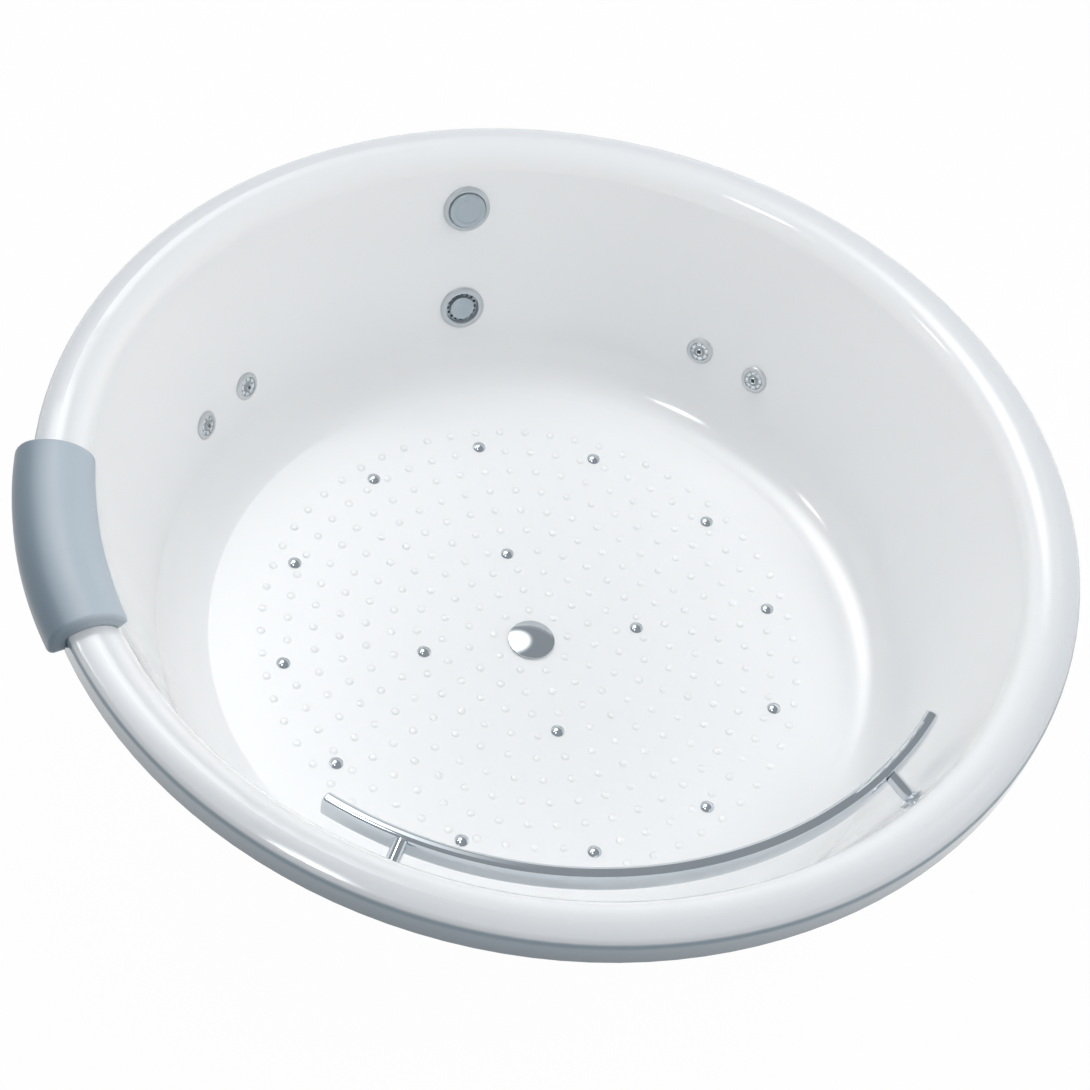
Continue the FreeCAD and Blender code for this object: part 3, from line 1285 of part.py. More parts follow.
saddle.Placement = Placement(saddle_low, Rotation())
gland_way = Vector(0, -1, 0)
gland_turn = Rotation(UP, gland_way)
motor_gland_start = Vector(motor_middle, equipment_y - float(motor_bore) - OVERRUN, pump_axis_z)
motor_gland = cylinder("motor_gland", S.gland_radius, S.gland_length + S.fin_height,
                       Placement(motor_gland_start, gland_turn))
motor_room = cylinder("motor_room", motor_bore, S.motor_length - S.motor_wall * 2,
                      pump_place.multiply(Placement(Vector(0, 0, float(motor_start + S.motor_wall)), Rotation())))
keep(cut("pump_motor", fused("motor_blank", motor_cup, saddle, motor_gland, *fins), motor_room))

impeller_start = S.volute_wall * 2
core_start = motor_start + (S.motor_length - S.rotor_core_length) / 2
shaft_end = motor_end - S.motor_wall - S.seat_gap
keep(turned("pump_rotor", [
    (0, impeller_start), (S.impeller_radius, impeller_start),
    (S.impeller_radius, impeller_start + S.impeller_thickness * 0.3),
    (S.pump_shaft_radius * 2, impeller_start + S.impeller_thickness),
    (S.pump_shaft_radius, impeller_start + S.impeller_thickness), (S.pump_shaft_radius, core_start),
    (S.rotor_core_radius, core_start), (S.rotor_core_radius, core_start + S.rotor_core_length),
    (S.pump_shaft_radius, core_start + S.rotor_core_length), (S.pump_shaft_radius, shaft_end),
    (0, shaft_end)], pump_place))


# ---------------------------------------------------------------- trays

def tray(label, low_x, high_x, hook_low, hook_high, far_y):
    """A folded sheet: a hook under a side rail, a web behind it and a floor outwards."""
    web_y = S.frame_half_length
    bottom = S.floor_level + S.tray_height
    hook = block(label + "_hook", (hook_low, web_y - S.tray_hook, rail_bottom - S.tray_sheet),
                 (hook_high, web_y + S.tray_sheet, rail_bottom))
    web = block(label + "_web", (low_x, web_y, bottom), (high_x, web_y + S.tray_sheet, rail_bottom))
    floor = block(label + "_floor", (low_x, web_y, bottom), (high_x, far_y, bottom + S.tray_sheet))
    return keep(fused(label, hook, web, floor))


pump_far = S.rim_diameter / 2 - S.equipment_inset + S.volute_radius * 0.8
pump_first = S.pump_start - S.pump_inlet_length
pump_last = S.pump_start + S.volute_length + S.motor_length + S.motor_wall * 2
hook_near = S.frame_half_width - S.rail_side
hook_far = S.frame_half_width + S.rail_side
tray("pump_tray", pump_first, pump_last, hook_near, hook_far, pump_far)
blower_far = S.rim_diameter / 2 - S.equipment_inset + S.blower_radius * 0.75
tray("blower_tray", -S.blower_offset - S.blower_radius * 0.95, -hook_near + S.blower_wall, -hook_far, -hook_near,
     blower_far)


# ---------------------------------------------------------------- electrical box and its cords

box_near = S.frame_half_width + half_rail
box_far = box_near + S.box_depth
box_half = S.box_length / 2
box_low = S.floor_level + S.box_bottom
box_high = S.floor_level + S.box_top
box_blank = block("box_blank", (box_near, -box_half, box_low), (box_far, box_half, box_high))
box_room = block("box_room", (box_near + S.box_wall, -box_half + S.box_wall, box_low + S.box_wall),
                 (box_far + OVERRUN, box_half - S.box_wall, box_high - S.box_wall))
gland_z = level(S.gland_height)
gland_spots = [(float(box_near) + float(S.box_depth) * share, side * float(box_half), side)
               for share, side in ((0.3, 1), (0.75, 1), (0.5, -1))]
glands = []
gland_bores = []
for number, (x, y, side) in enumerate(gland_spots):
    turn = Rotation(UP, Vector(0, side, 0))
    glands.append(cylinder("box_gland_%d" % number, S.gland_radius, S.gland_length,
                           Placement(Vector(x, y, gland_z), turn)))
    gland_bores.append(cylinder("box_gland_bore_%d" % number, S.cord_radius + S.seat_gap,
                                S.gland_length + S.box_wall + 2 * OVERRUN,
                                Placement(Vector(x, y - side * float(S.box_wall + OVERRUN), gland_z), turn)))
keep(cut("control_box", fused("box_shell", box_blank, *glands), box_room, *gland_bores))
keep(block("control_box_lid", (box_far, -box_half, box_low), (box_far + S.box_wall, box_half, box_high)))

gland_face = float(box_half) + float(S.gland_length)
motor_face = motor_gland_start.y - float(S.gland_length) - float(S.fin_height)
pump_cord_x = gland_spots[0][0]
cord_lead = float(S.cord_lead)
cord_slant = float(S.cord_slant)
keep(hose("pump_cord", [
    Vector(pump_cord_x, gland_face, gland_z),
    Vector(pump_cord_x, motor_face - cord_lead - cord_slant, gland_z),
    Vector(motor_middle, motor_face - cord_lead, pump_axis_z),
    Vector(motor_middle, motor_face, pump_axis_z)],
    S.cord_bend, S.cord_radius))
blower_cord_x = gland_spots[1][0]
cord_low = level(S.cord_height)
rail_end = float(S.frame_half_length)
cord_row = rail_end + cord_lead + cord_slant
cord_loop = float(S.cord_loop)
housing_way = around(S.blower_entry, 1, 0) - around(S.blower_entry, 0, 0)
housing_point = Vector(blower_x, equipment_y, cord_low) + housing_way * (
    float(S.blower_radius) + float(S.seat_gap))
keep(hose("blower_cord", [
    Vector(blower_cord_x, gland_face, gland_z), Vector(blower_cord_x, rail_end + cord_slant / 2, gland_z),
    Vector(blower_cord_x, cord_row, cord_low), Vector(blower_cord_x - cord_loop, cord_row + cord_slant, cord_low),
    housing_point + housing_way * cord_loop, housing_point],
    S.cord_bend, S.cord_radius))


# ---------------------------------------------------------------- grab bar

bar_radius = wall_radius(float(S.bar_height)) - float(S.bar_reach)


def bar_section(azimuth):
    """The flat rounded section of the bar, standing upright at an azimuth."""
    half_thick = float(S.bar_thick) / 2
    half_tall = float(S.bar_tall) / 2
    inside = bar_radius - half_thick
    outside = bar_radius + half_thick
    corner_points = [(inside, -half_tall), (outside, -half_tall), (outside, half_tall), (inside, half_tall)]
    points = [around(azimuth, radius, float(S.bar_height) + rise) for radius, rise in corner_points]
    return Part.Face(Part.makePolygon(points + points[:1]))


bar_first = float(S.bar_middle_azimuth) - float(S.bar_half_angle)
bar_solid = bar_section(bar_first).revolve(ORIGIN, UP, 2 * float(S.bar_half_angle))
long_edges = [edge for edge in bar_solid.Edges if edge.Length > bar_radius]
bar_solid = bar_solid.makeFillet(float(S.bar_round), long_edges)
end_edges = [edge for edge in bar_solid.Edges if edge.Length < float(S.bar_tall)]
bar_solid = bar_solid.makeFillet(float(S.bar_end_round), end_edges)
keep(shaped("grab_bar", bar_solid))

post_reach = float(S.bar_reach - S.bar_thick / 2) / math.cos(lean) - float(S.seat_gap)
post_overrun = S.bar_thick
rosette_edge = 2
rosette_seat = seat_on_wall(S.rosette_radius, S.bar_height)
post_master = turned("bar_post_master", [
    (0, -S.post_stud_length), (S.post_stud_radius, -S.post_stud_length), (S.post_stud_radius, rosette_seat),
    (S.rosette_radius, rosette_seat),
    (S.rosette_radius, rosette_seat + S.rosette_thickness * 0.6, S.rosette_radius),
    (S.post_radius + rosette_edge, S.rosette_thickness + rosette_seat),
    (S.post_radius, S.rosette_thickness + rosette_seat + rosette_edge),
    (S.post_radius, post_reach + post_overrun), (0, post_reach + post_overrun)])
posts = repeated("bar_posts_long", post_master, [on_wall(azimuth, S.bar_height) for azimuth in bar_azimuths])
bar_room = Part.makeCylinder(bar_radius + float(S.bar_thick) / 2 + float(S.seat_gap), level(S.crest_height))
keep(shaped("bar_posts", posts.Shape.cut(bar_room)))
post_nut = shaped("bar_nut_master",
                  hexagon(float(S.post_nut_radius), float(S.post_nut_thickness),
                          float(S.post_stud_radius + S.seat_gap)),
                  Placement(Vector(0, 0, behind_shell - float(S.post_nut_thickness)), Rotation()))
keep(repeated("bar_fixing_nuts", post_nut, [on_wall(azimuth, S.bar_height) for azimuth in bar_azimuths]))


# ---------------------------------------------------------------- headrest

roll_start = math.pi / 2 + math.radians(float(S.headrest_wrap))
roll_middle = (roll_start + math.pi / 2) / 2


def roll_spot(angle):
    way = (math.cos(angle), math.sin(angle))
    return (crest_radius + roll * way[0], float(S.crest_height) - roll + roll * way[1]), way


headrest_runs = [[roll_spot(roll_start), roll_spot(roll_middle), roll_spot(math.pi / 2)]] + runs[4:]
pad_face = layer_face(headrest_runs, -float(S.headrest_thickness + S.seat_gap), -float(S.seat_gap))
pad = pad_face.revolve(ORIGIN, UP, float(S.headrest_angle))
pad = pad.makeFillet(float(S.headrest_round), pad.Edges)
pad_turn = float(S.headrest_middle_azimuth) - float(S.headrest_angle) / 2
keep(shaped("headrest_pad", pad, Placement(ORIGIN, Rotation(UP, pad_turn))))


# ---------------------------------------------------------------- check and write

doc.recompute()
failed = [item.Label for item in doc.Objects if "Invalid" in item.State or "Error" in item.State]
bad = [node.Label for node in nodes if node.Shape.isNull() or not node.Shape.isValid()]
if failed or bad:
    raise ValueError("failed: %s, not valid: %s" % (failed, bad))
os.makedirs("parts", exist_ok=True)
for node in nodes:
    node.Shape.exportStep("parts/%s.step" % node.Label)
print("%d pieces written" % len(nodes))
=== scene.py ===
# %% [markdown]
# # A round jetted bath, dressed in Blender
#
# The bath comes in as a fixed frame: every pipe, trim and rotor is a node at its real place, in metres,
# with +Z up and the overflow on the +Y side.  This lesson gives each of them a finish, and models the
# few things that a turned or swept solid can't show: the soft headrest, the raised dots that keep feet
# from slipping, the grips on the jets, and the clamps, welds and screws of the machinery underneath.

# %% Load the frame and keep its box
import json
import math
import random

import bmesh
import bpy
from mathutils import Matrix, Vector


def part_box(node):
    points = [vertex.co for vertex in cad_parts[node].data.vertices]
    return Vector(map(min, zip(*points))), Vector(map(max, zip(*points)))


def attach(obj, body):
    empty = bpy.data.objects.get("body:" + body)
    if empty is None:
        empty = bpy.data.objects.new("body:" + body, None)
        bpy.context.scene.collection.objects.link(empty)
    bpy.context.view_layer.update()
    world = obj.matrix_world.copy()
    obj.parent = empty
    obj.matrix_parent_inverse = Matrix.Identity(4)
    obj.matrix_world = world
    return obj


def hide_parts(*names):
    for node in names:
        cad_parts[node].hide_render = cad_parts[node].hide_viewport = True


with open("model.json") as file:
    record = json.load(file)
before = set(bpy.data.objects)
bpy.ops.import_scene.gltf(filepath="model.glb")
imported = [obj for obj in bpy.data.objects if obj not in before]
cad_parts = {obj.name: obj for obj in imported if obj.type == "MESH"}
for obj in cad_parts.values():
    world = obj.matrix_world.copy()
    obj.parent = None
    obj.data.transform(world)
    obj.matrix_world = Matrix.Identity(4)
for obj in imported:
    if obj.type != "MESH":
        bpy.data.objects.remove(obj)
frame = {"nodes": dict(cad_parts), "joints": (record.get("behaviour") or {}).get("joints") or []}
nodes = frame["nodes"]
joints = {joint["name"]: joint for joint in frame["joints"]}
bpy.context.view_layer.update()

# %% [markdown]
# ## The photographer's place
#
# The photograph looks down into the bath at about fifty degrees with a long lens, tilted a little to one
# side.  A camera is an object like any other: a place, three turns and a focal length.  Matching the
# focal length as well as the angle keeps the far rim as small against the near rim as it really looks.

# %% Camera
CAMERA_PLACE = (-0.7943, -1.7988, 2.7735)
CAMERA_TURNS = (38.879, -8.072, -13.588)
CAMERA_LENS = 68.31
camera_data = bpy.data.cameras.new("photographer")
camera_data.sensor_width = 36
camera_data.lens = CAMERA_LENS
camera_data.clip_end = 60
camera = bpy.data.objects.new("photographer", camera_data)
camera.location = CAMERA_PLACE
camera.rotation_euler = [math.radians(turn) for turn in CAMERA_TURNS]
bpy.context.scene.collection.objects.link(camera)
bpy.context.scene.camera = camera
bpy.context.scene.view_settings.view_transform = "Standard"

# %% [markdown]
# ## Writing shaders as sums
#
# A procedural finish is mostly arithmetic on numbers that change over the surface.  Wrapping a socket in
# a small class with Python's own operators lets `1 - mask` or `height * 0.4 + grain` add the Math nodes,
# and one method adds every other node, with its settings first and its inputs after.

# %% A socket that can be added and multiplied
class Wire:
    """One output socket, on which Python's operators add Math nodes."""

    def __init__(self, finish, socket):
        self.finish = finish
        self.socket = socket

    def _maths(self, operation, first, second):
        return self.finish.node("ShaderNodeMath", {"operation": operation}, {0: first, 1: second})

    def __add__(self, other):
        return self._maths("ADD", self, other)

    __radd__ = __add__

    def __sub__(self, other):
        return self._maths("SUBTRACT", self, other)

    def __rsub__(self, other):
        return self._maths("SUBTRACT", other, self)

    def __mul__(self, other):
        return self._maths("MULTIPLY", self, other)

    __rmul__ = __mul__

    def __truediv__(self, other):
        return self._maths("DIVIDE", self, other)

    def sine(self):
        return self.finish.node("ShaderNodeMath", {"operation": "SINE"}, {0: self})

    def between(self, low, high):
        """Rises smoothly from 0 at low to 1 at high."""
        return self.finish.node("ShaderNodeMapRange", {"interpolation_type": "SMOOTHSTEP"},
                                {"Value": self, "From Min": low, "From Max": high})


class Finish:
    """A material that starts from one Principled shader."""

    def __init__(self, name, **fixed):
        self.material = bpy.data.materials.new(name)
        self.material.use_nodes = True
        self.tree = self.material.node_tree
        self.shader = self.tree.nodes["Principled BSDF"]
        for socket, value in fixed.items():
            self.shader.inputs[socket.replace("_", " ")].default_value = value

    def node(self, kind, settings, inputs, output=0):
        made = self.tree.nodes.new(kind)
        for name, value in settings.items():
            if name == "stops":
                stops = made.color_ramp.elements
                while len(stops) < len(value):
                    stops.new(1)
                for stop, (place, colour) in zip(stops, value):
                    stop.position = place
                    stop.color = (*colour, 1)
            else:
                setattr(made, name, value)
        for name, value in inputs.items():
            self.feed(made.inputs[name], value)
        return Wire(self, made.outputs[output])

    def feed(self, socket, value):
        if isinstance(value, Wire):
            self.tree.links.new(value.socket, socket)
        else:
            socket.default_value = value

    def drive(self, **sockets):
        """Link worked-out values into the shader."""
        for name, value in sockets.items():
            self.feed(self.shader.inputs[name.replace("_", " ")], value)
        return self

    def place(self):
        """Where the surface point is, in metres in the bath's frame."""
        return self.node("ShaderNodeTexCoord", {}, {}, "Object")

    def part_of_place(self, axis):
        return self.node("ShaderNodeSeparateXYZ", {}, {0: self.place()}, axis)

    def noise(self, scale, detail=2.0, roughness=0.5, stretch=(1, 1, 1), warp=0.0):
        where = self.node("ShaderNodeMapping", {}, {"Vector": self.place(), "Scale": stretch})
        return self.node("ShaderNodeTexNoise", {}, {"Vector": where, "Scale": scale, "Detail": detail,
                                                    "Roughness": roughness, "Distortion": warp})

    def cells(self, scale, feature="F1", output="Distance"):
        return self.node("ShaderNodeTexVoronoi", {"feature": feature},
                         {"Vector": self.place(), "Scale": scale}, output)

    def mix(self, share, first, second):
        """Blend two colours, each a triple or a socket."""
        first = first if isinstance(first, Wire) else (*first, 1)
        second = second if isinstance(second, Wire) else (*second, 1)
        made = self.tree.nodes.new("ShaderNodeMix")
        made.data_type = "RGBA"
        self.feed(made.inputs["Factor"], share)
        self.feed(made.inputs[6], first)
        self.feed(made.inputs[7], second)
        return Wire(self, made.outputs[2])

    def ramp(self, share, *stops):
        return self.node("ShaderNodeValToRGB", {"stops": stops}, {"Fac": share})

    def bump(self, height, strength, distance):
        return self.node("ShaderNodeBump", {}, {"Height": height, "Strength": strength, "Distance": distance})

    def away_from(self, centre, axis):
        """Distance of the surface point from a line, in metres."""
        from_centre = self.node("ShaderNodeVectorMath", {"operation": "SUBTRACT"},
                                {0: self.place(), 1: centre})
        sideways = self.node("ShaderNodeVectorMath", {"operation": "CROSS_PRODUCT"},
                             {0: from_centre, 1: axis})
        return self.node("ShaderNodeVectorMath", {"operation": "LENGTH"}, {0: sideways}, "Value")


# %% [markdown]
# ## Polished acrylic
#
# The shell is a white acrylic sheet, drawn hot into a mould and left with the shine of the sheet.  Such a
# surface is a clear gloss over a milky white, never quite flat: a faint orange peel breaks up the edges of
# reflections.  Painted shade greys the colour a little from the inside of the rim outwards, and paints the
# rim's outer side slate blue, darker at its bottom.

# %% Acrylic
ACRYLIC_WHITE = (0.935, 0.94, 0.945)
ACRYLIC_SHADE = (0.915, 0.925, 0.93)
# Painted shade: the rim is painted a little greyer than the inside of the bath.
RIM_PAINTED_SHADE = (0.70, 0.725, 0.75)
# Painted shade: the rim's outer side is painted slate blue, and darker still towards its bottom.
LIP_PAINTED_SHADE = (0.235, 0.315, 0.375)
LIP_PAINTED_DEEP_SHADE = (0.155, 0.215, 0.265)
RIM_RADIUS = nodes["acrylic_shell"].dimensions.y / 2
RIM_INSIDE = 0.66
LIP_DEPTH = 0.047
LIP_FADE = 0.032
LIP_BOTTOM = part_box("acrylic_shell")[1].z - LIP_DEPTH
LIP_TOP = LIP_BOTTOM + LIP_FADE


def acrylic():
    finish = Finish("polished_acrylic", IOR=1.49, Coat_Roughness=0.03, Coat_Weight=0.6)
    cloud = finish.noise(1.6, detail=3)
    white = finish.mix(cloud, ACRYLIC_WHITE, ACRYLIC_SHADE)
    out = finish.away_from((0, 0, 0), (0, 0, 1))
    # Painted shade: the colour greys from the inside of the rim out to its edge.
    white = finish.mix(out.between(RIM_INSIDE, RIM_RADIUS), white, RIM_PAINTED_SHADE)
    # Painted shade on the rim's outer side: slate blue, darker towards the lip's bottom.
    side = out.between(RIM_RADIUS - 0.004, RIM_RADIUS - 0.0012)
    height = finish.part_of_place("Z")
    low = 1 - height.between(LIP_BOTTOM, LIP_TOP)
    lip = finish.mix(low, LIP_PAINTED_SHADE, LIP_PAINTED_DEEP_SHADE)
    peel = finish.noise(70, detail=1)
    finish.drive(Base_Color=finish.mix(side, white, lip), Roughness=0.08 + 0.04 * cloud,
                 Normal=finish.bump(peel, 0.05, 0.001))
    return finish.material


ACRYLIC = acrylic()

# %% [markdown]
# ## Metals
#
# Chrome is a mirror with a little blue in it, and its only texture is what the buffing wheel left.  The
# overflow and suction trims are satin plated: the rings of the brush run round the trim's own axis, so the
# pattern is made from the distance to that axis.  Zinc plate shows large soft crystals, and the frame's
# tubes are sprayed grey over steel.

# %% Chrome, satin plate, zinc and painted steel
def chrome():
    finish = Finish("buffed_chrome", Metallic=1.0)
    buff = finish.noise(900, detail=2, stretch=(1, 1, 6))
    film = finish.noise(14, detail=4)
    finish.drive(Base_Color=finish.mix(film, (0.74, 0.78, 0.81), (0.66, 0.71, 0.75)),
                 Roughness=0.035 + 0.05 * film * buff)
    return finish.material


def satin_plate(name, centre, axis, colour):
    finish = Finish(name, Metallic=0.55, Coat_Weight=0.15, Coat_Roughness=0.2)
    out = finish.away_from(centre, axis)
    rings = (out * 5200).sine() * 0.5 + finish.noise(160, detail=3) * 0.5
    wear = finish.noise(30, detail=4)
    darker = tuple(0.82 * channel for channel in colour)
    finish.drive(Base_Color=finish.mix(wear * 0.6, colour, darker), Roughness=0.30 + 0.12 * wear,
                 Normal=finish.bump(rings, 0.12, 0.0004))
    return finish.material


def zinc():
    finish = Finish("zinc_plate", Metallic=1.0)
    spangle = finish.cells(95, output="Color")
    tint = finish.node("ShaderNodeSeparateColor", {}, {0: spangle}, "Red")
    dust = finish.noise(60, detail=5)
    finish.drive(Base_Color=finish.mix(tint, (0.54, 0.56, 0.57), (0.66, 0.67, 0.64)),
                 Roughness=0.28 + 0.14 * tint + 0.1 * dust)
    return finish.material


def sprayed_steel():
    finish = Finish("sprayed_steel", Coat_Weight=0.1)
    peel = finish.noise(420, detail=2)
    dust = finish.noise(9, detail=6)
    finish.drive(Base_Color=finish.mix(dust, (0.30, 0.33, 0.35), (0.38, 0.40, 0.41)),
                 Roughness=0.38 + 0.2 * dust, Normal=finish.bump(peel, 0.25, 0.0006))
    return finish.material


CHROME = chrome()
ZINC = zinc()
SPRAYED = sprayed_steel()

# %% [markdown]
# ## Plastics, rubber, glass fibre and board
#
# A moulded plastic is told from another by its grain: pipes are nearly smooth, fittings have a fine
# spark-eroded skin, housings a coarser one.  The back of the shell is chopped glass strands rolled into
# resin, so short stretched noise is crossed three ways.  Particle board is small flat chips of many browns.

# %% Plastics and the rest
def moulded(name, colour, grain, grain_size, roughness, gloss=0.0):
    """A moulded plastic: its colour drifts a little, and its skin has a grain."""
    finish = Finish(name, Coat_Weight=gloss, Coat_Roughness=0.15)
    drift = finish.noise(7, detail=4)
    skin = finish.noise(grain_size, detail=3, roughness=0.6)
    darker = tuple(0.86 * channel for channel in colour)
    finish.drive(Base_Color=finish.mix(drift, colour, darker), Roughness=roughness + 0.12 * drift,
                 Normal=finish.bump(skin, grain, 0.0005))
    return finish.material


def glass_fibre():
    finish = Finish("rolled_glass_fibre", Coat_Weight=0.25, Coat_Roughness=0.35)
    strands = finish.noise(150, detail=3, stretch=(1, 6, 1), warp=0.6)
    for stretch in ((6, 1, 1), (1, 1, 6)):
        strands = strands + finish.noise(150, detail=3, stretch=stretch, warp=0.6)
    strands = strands / 3
    resin = finish.noise(5, detail=5)
    colour = finish.ramp(resin, (0.3, (0.60, 0.60, 0.53)), (0.5, (0.70, 0.70, 0.63)),
                         (0.72, (0.55, 0.57, 0.52)))
    finish.drive(Base_Color=finish.mix(strands.between(0.42, 0.62), colour, (0.80, 0.80, 0.74)),
                 Roughness=0.45 + 0.3 * strands, Normal=finish.bump(strands + 0.4 * resin, 0.9, 0.004))
    return finish.material


def chip_board():
    finish = Finish("chip_board")
    chips = finish.cells(170, output="Color")
    tint = finish.node("ShaderNodeSeparateColor", {}, {0: chips}, "Red")
    colour = finish.ramp(tint, (0.0, (0.28, 0.18, 0.10)), (0.5, (0.48, 0.34, 0.20)),
                         (1.0, (0.62, 0.49, 0.31)))
    edge = finish.cells(170, feature="DISTANCE_TO_EDGE")
    finish.drive(Base_Color=colour, Roughness=0.75 + 0.15 * tint, Normal=finish.bump(edge, 0.4, 0.001))
    return finish.material


JET_GREY = moulded("jet_grey_plastic", (0.40, 0.43, 0.45), 0.05, 400, 0.22, gloss=0.4)
PIPE_WHITE = moulded("white_pipe", (0.78, 0.80, 0.79), 0.10, 260, 0.30, gloss=0.1)
FITTING_GREY = moulded("grey_fitting", (0.52, 0.54, 0.54), 0.35, 900, 0.48)
HOUSING_BLACK = moulded("black_housing", (0.035, 0.036, 0.038), 0.6, 700, 0.50)
ROTOR_GREY = moulded("rotor_plastic", (0.16, 0.165, 0.17), 0.3, 800, 0.42)
SHEATH_BLACK = moulded("cable_sheath", (0.025, 0.025, 0.027), 0.25, 500, 0.45)
SEAL_BLACK = moulded("seal_rubber", (0.02, 0.02, 0.02), 0.5, 1200, 0.70)
FOOT_BLACK = moulded("foot_plastic", (0.03, 0.03, 0.032), 0.4, 900, 0.55)
GLASS_FIBRE = glass_fibre()
CHIP_BOARD = chip_board()

# %% [markdown]
# ## Giving the frame its finishes
#
# Every node gets its material through its object's slots, by the finish that the piece really has.

# %% Finishes on the nodes
def joint_line(name):
    """A joint's point and axis."""
    joint = joints[name]
    return Vector(joint["pos_m"]), Vector(joint["axis"])


knob_centre, knob_axis = joint_line("knob_turn")
jet_lines = [joint_line("jet_%d_turn" % number) for number in (1, 2, 3, 4)]
SATIN_GREY = (0.47, 0.54, 0.59)
SATIN_PALE = (0.62, 0.67, 0.70)
JET_SATIN = (0.70, 0.73, 0.75)
KNOB_SATIN = satin_plate("knob_satin", knob_centre, knob_axis, SATIN_GREY)
OVERFLOW_SATIN = satin_plate("overflow_satin", knob_centre, knob_axis, SATIN_PALE)
suction_low, suction_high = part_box("suction_flange")
suction_centre = (suction_low + suction_high) / 2
SUCTION_SATIN = satin_plate("suction_satin", suction_centre, knob_axis, SATIN_PALE)
GUARD_SATIN = satin_plate("guard_satin", suction_centre, knob_axis, SATIN_GREY)
finish_of = {
    "acrylic_shell": ACRYLIC,
    "reinforcement_shell": GLASS_FIBRE,
    "base_board": CHIP_BOARD,
    "overflow_flange": OVERFLOW_SATIN,
    "overflow_knob": KNOB_SATIN,
    "suction_flange": SUCTION_SATIN,
    "suction_guard": GUARD_SATIN,
    "foot_pads": FOOT_BLACK,
}
for name in ("cross_rail_front", "cross_rail_rear", "side_rail_left", "side_rail_right"):
    finish_of[name] = SPRAYED
for name in ("foot_studs", "foot_lock_nuts", "bar_fixing_nuts", "pump_tray", "blower_tray"):
    finish_of[name] = ZINC
for name in ("drain_cover", "drain_flange", "grab_bar", "bar_posts", "air_jet_caps"):
    finish_of[name] = CHROME
for name in ("drain_seal", "overflow_seal"):
    finish_of[name] = SEAL_BLACK
for name in ("overflow_pipe", "suction_pipe", "water_manifold", "air_duct", "air_ring_outer",
             "air_ring_inner"):
    finish_of[name] = PIPE_WHITE
for name in ("waste_body", "trap_cup", "overflow_body", "suction_body", "jet_bodies", "jet_lock_nuts",
             "air_jet_bodies"):
    finish_of[name] = FITTING_GREY
for name in ("pump_motor", "pump_volute", "blower_housing", "control_box", "control_box_lid"):
    finish_of[name] = HOUSING_BLACK
for name in ("pump_rotor", "blower_rotor"):
    finish_of[name] = ROTOR_GREY
for name in ("release_cable", "pump_cord", "blower_cord"):
    finish_of[name] = SHEATH_BLACK
for number, (centre, axis) in enumerate(jet_lines, start=1):
    finish_of["jet_flange_%d" % number] = satin_plate("jet_satin_%d" % number, centre, axis, JET_SATIN)
    finish_of["jet_ring_%d" % number] = CHROME
    finish_of["jet_nozzle_%d" % number] = JET_GREY
for name, material in finish_of.items():
    nodes[name].material_slots[0].material = material
print("finishes:", len(set(finish_of.values())))

# %% [markdown]
# ## From a bmesh to a piece of the bath
#
# A bmesh is a mesh on the workbench: operators make a primitive, cut it, bevel it and move it.  When it is
# finished it becomes an object that rides on a body of the frame.  Edges sharper than a set angle are
# marked sharp, so that round stretches shade smoothly and corners stay crisp.

# %% Helpers for new pieces
def stand(place, axis):
    """A matrix that stands a shape at a place with its Z along an axis."""
    return Matrix.Translation(place) @ Vector(axis).to_track_quat("Z", "Y").to_matrix().to_4x4()


def edges_of(made):
    return list({edge for vertex in made["verts"] for edge in vertex.link_edges})


def soften(build, edges, radius, segments=2):
    bmesh.ops.bevel(build, geom=edges, offset=radius, offset_type="OFFSET", segments=segments,
                    profile=0.5, affect="EDGES", material=-1)


def piece(name, build, material, body, sharpest=35):
    """Turn the bmesh into an object that rides on a body."""
    bmesh.ops.recalc_face_normals(build, faces=build.faces)
    for face in build.faces:
        face.smooth = True
    for edge in build.edges:
        if edge.is_manifold and edge.calc_face_angle() > math.radians(sharpest):
            edge.smooth = False
    mesh = bpy.data.meshes.new(name)
    build.to_mesh(mesh)
    build.free()
    mesh.materials.append(material)
    thing = bpy.data.objects.new(name, mesh)
    bpy.context.scene.collection.objects.link(thing)
    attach(thing, body)
    print(name, len(mesh.polygons), "faces on", body)
    return thing


# %% [markdown]
# ## The headrest
#
# The headrest is a soft pad of skinned foam, hooked over the rim.  It starts as a flat rounded slab, which
# is easy to bevel and to crown, and is then wrapped over the rim: one coordinate runs round the bath, one
# follows the rim's own outline from the inside over the crest to the lip, and the third stays square to it.
# Painted shade darkens its skin towards the outer flank.

# %% The rim's outline
GROUND_TO_FLOOR = 0.170
CREST_RADIUS = 0.7196
CREST_HEIGHT = GROUND_TO_FLOOR + 0.400
ROLL_RADIUS = 0.048
TOP_RADIUS = 0.075
CORNER_RADIUS = 0.012
HEADREST_WRAP = math.radians(66)
PAD_SHORT = 0.010
corner_out = RIM_RADIUS - CORNER_RADIUS - CREST_RADIUS
corner_up = math.sqrt((TOP_RADIUS - CORNER_RADIUS) ** 2 - corner_out ** 2)
top_turn = math.atan2(corner_up, corner_out)
top_sweep = math.pi / 2 - top_turn
corner_height = CREST_HEIGHT - TOP_RADIUS + corner_up
stretches = (HEADREST_WRAP * ROLL_RADIUS, top_sweep * TOP_RADIUS, top_turn * CORNER_RADIUS,
             corner_height - LIP_BOTTOM - PAD_SHORT)


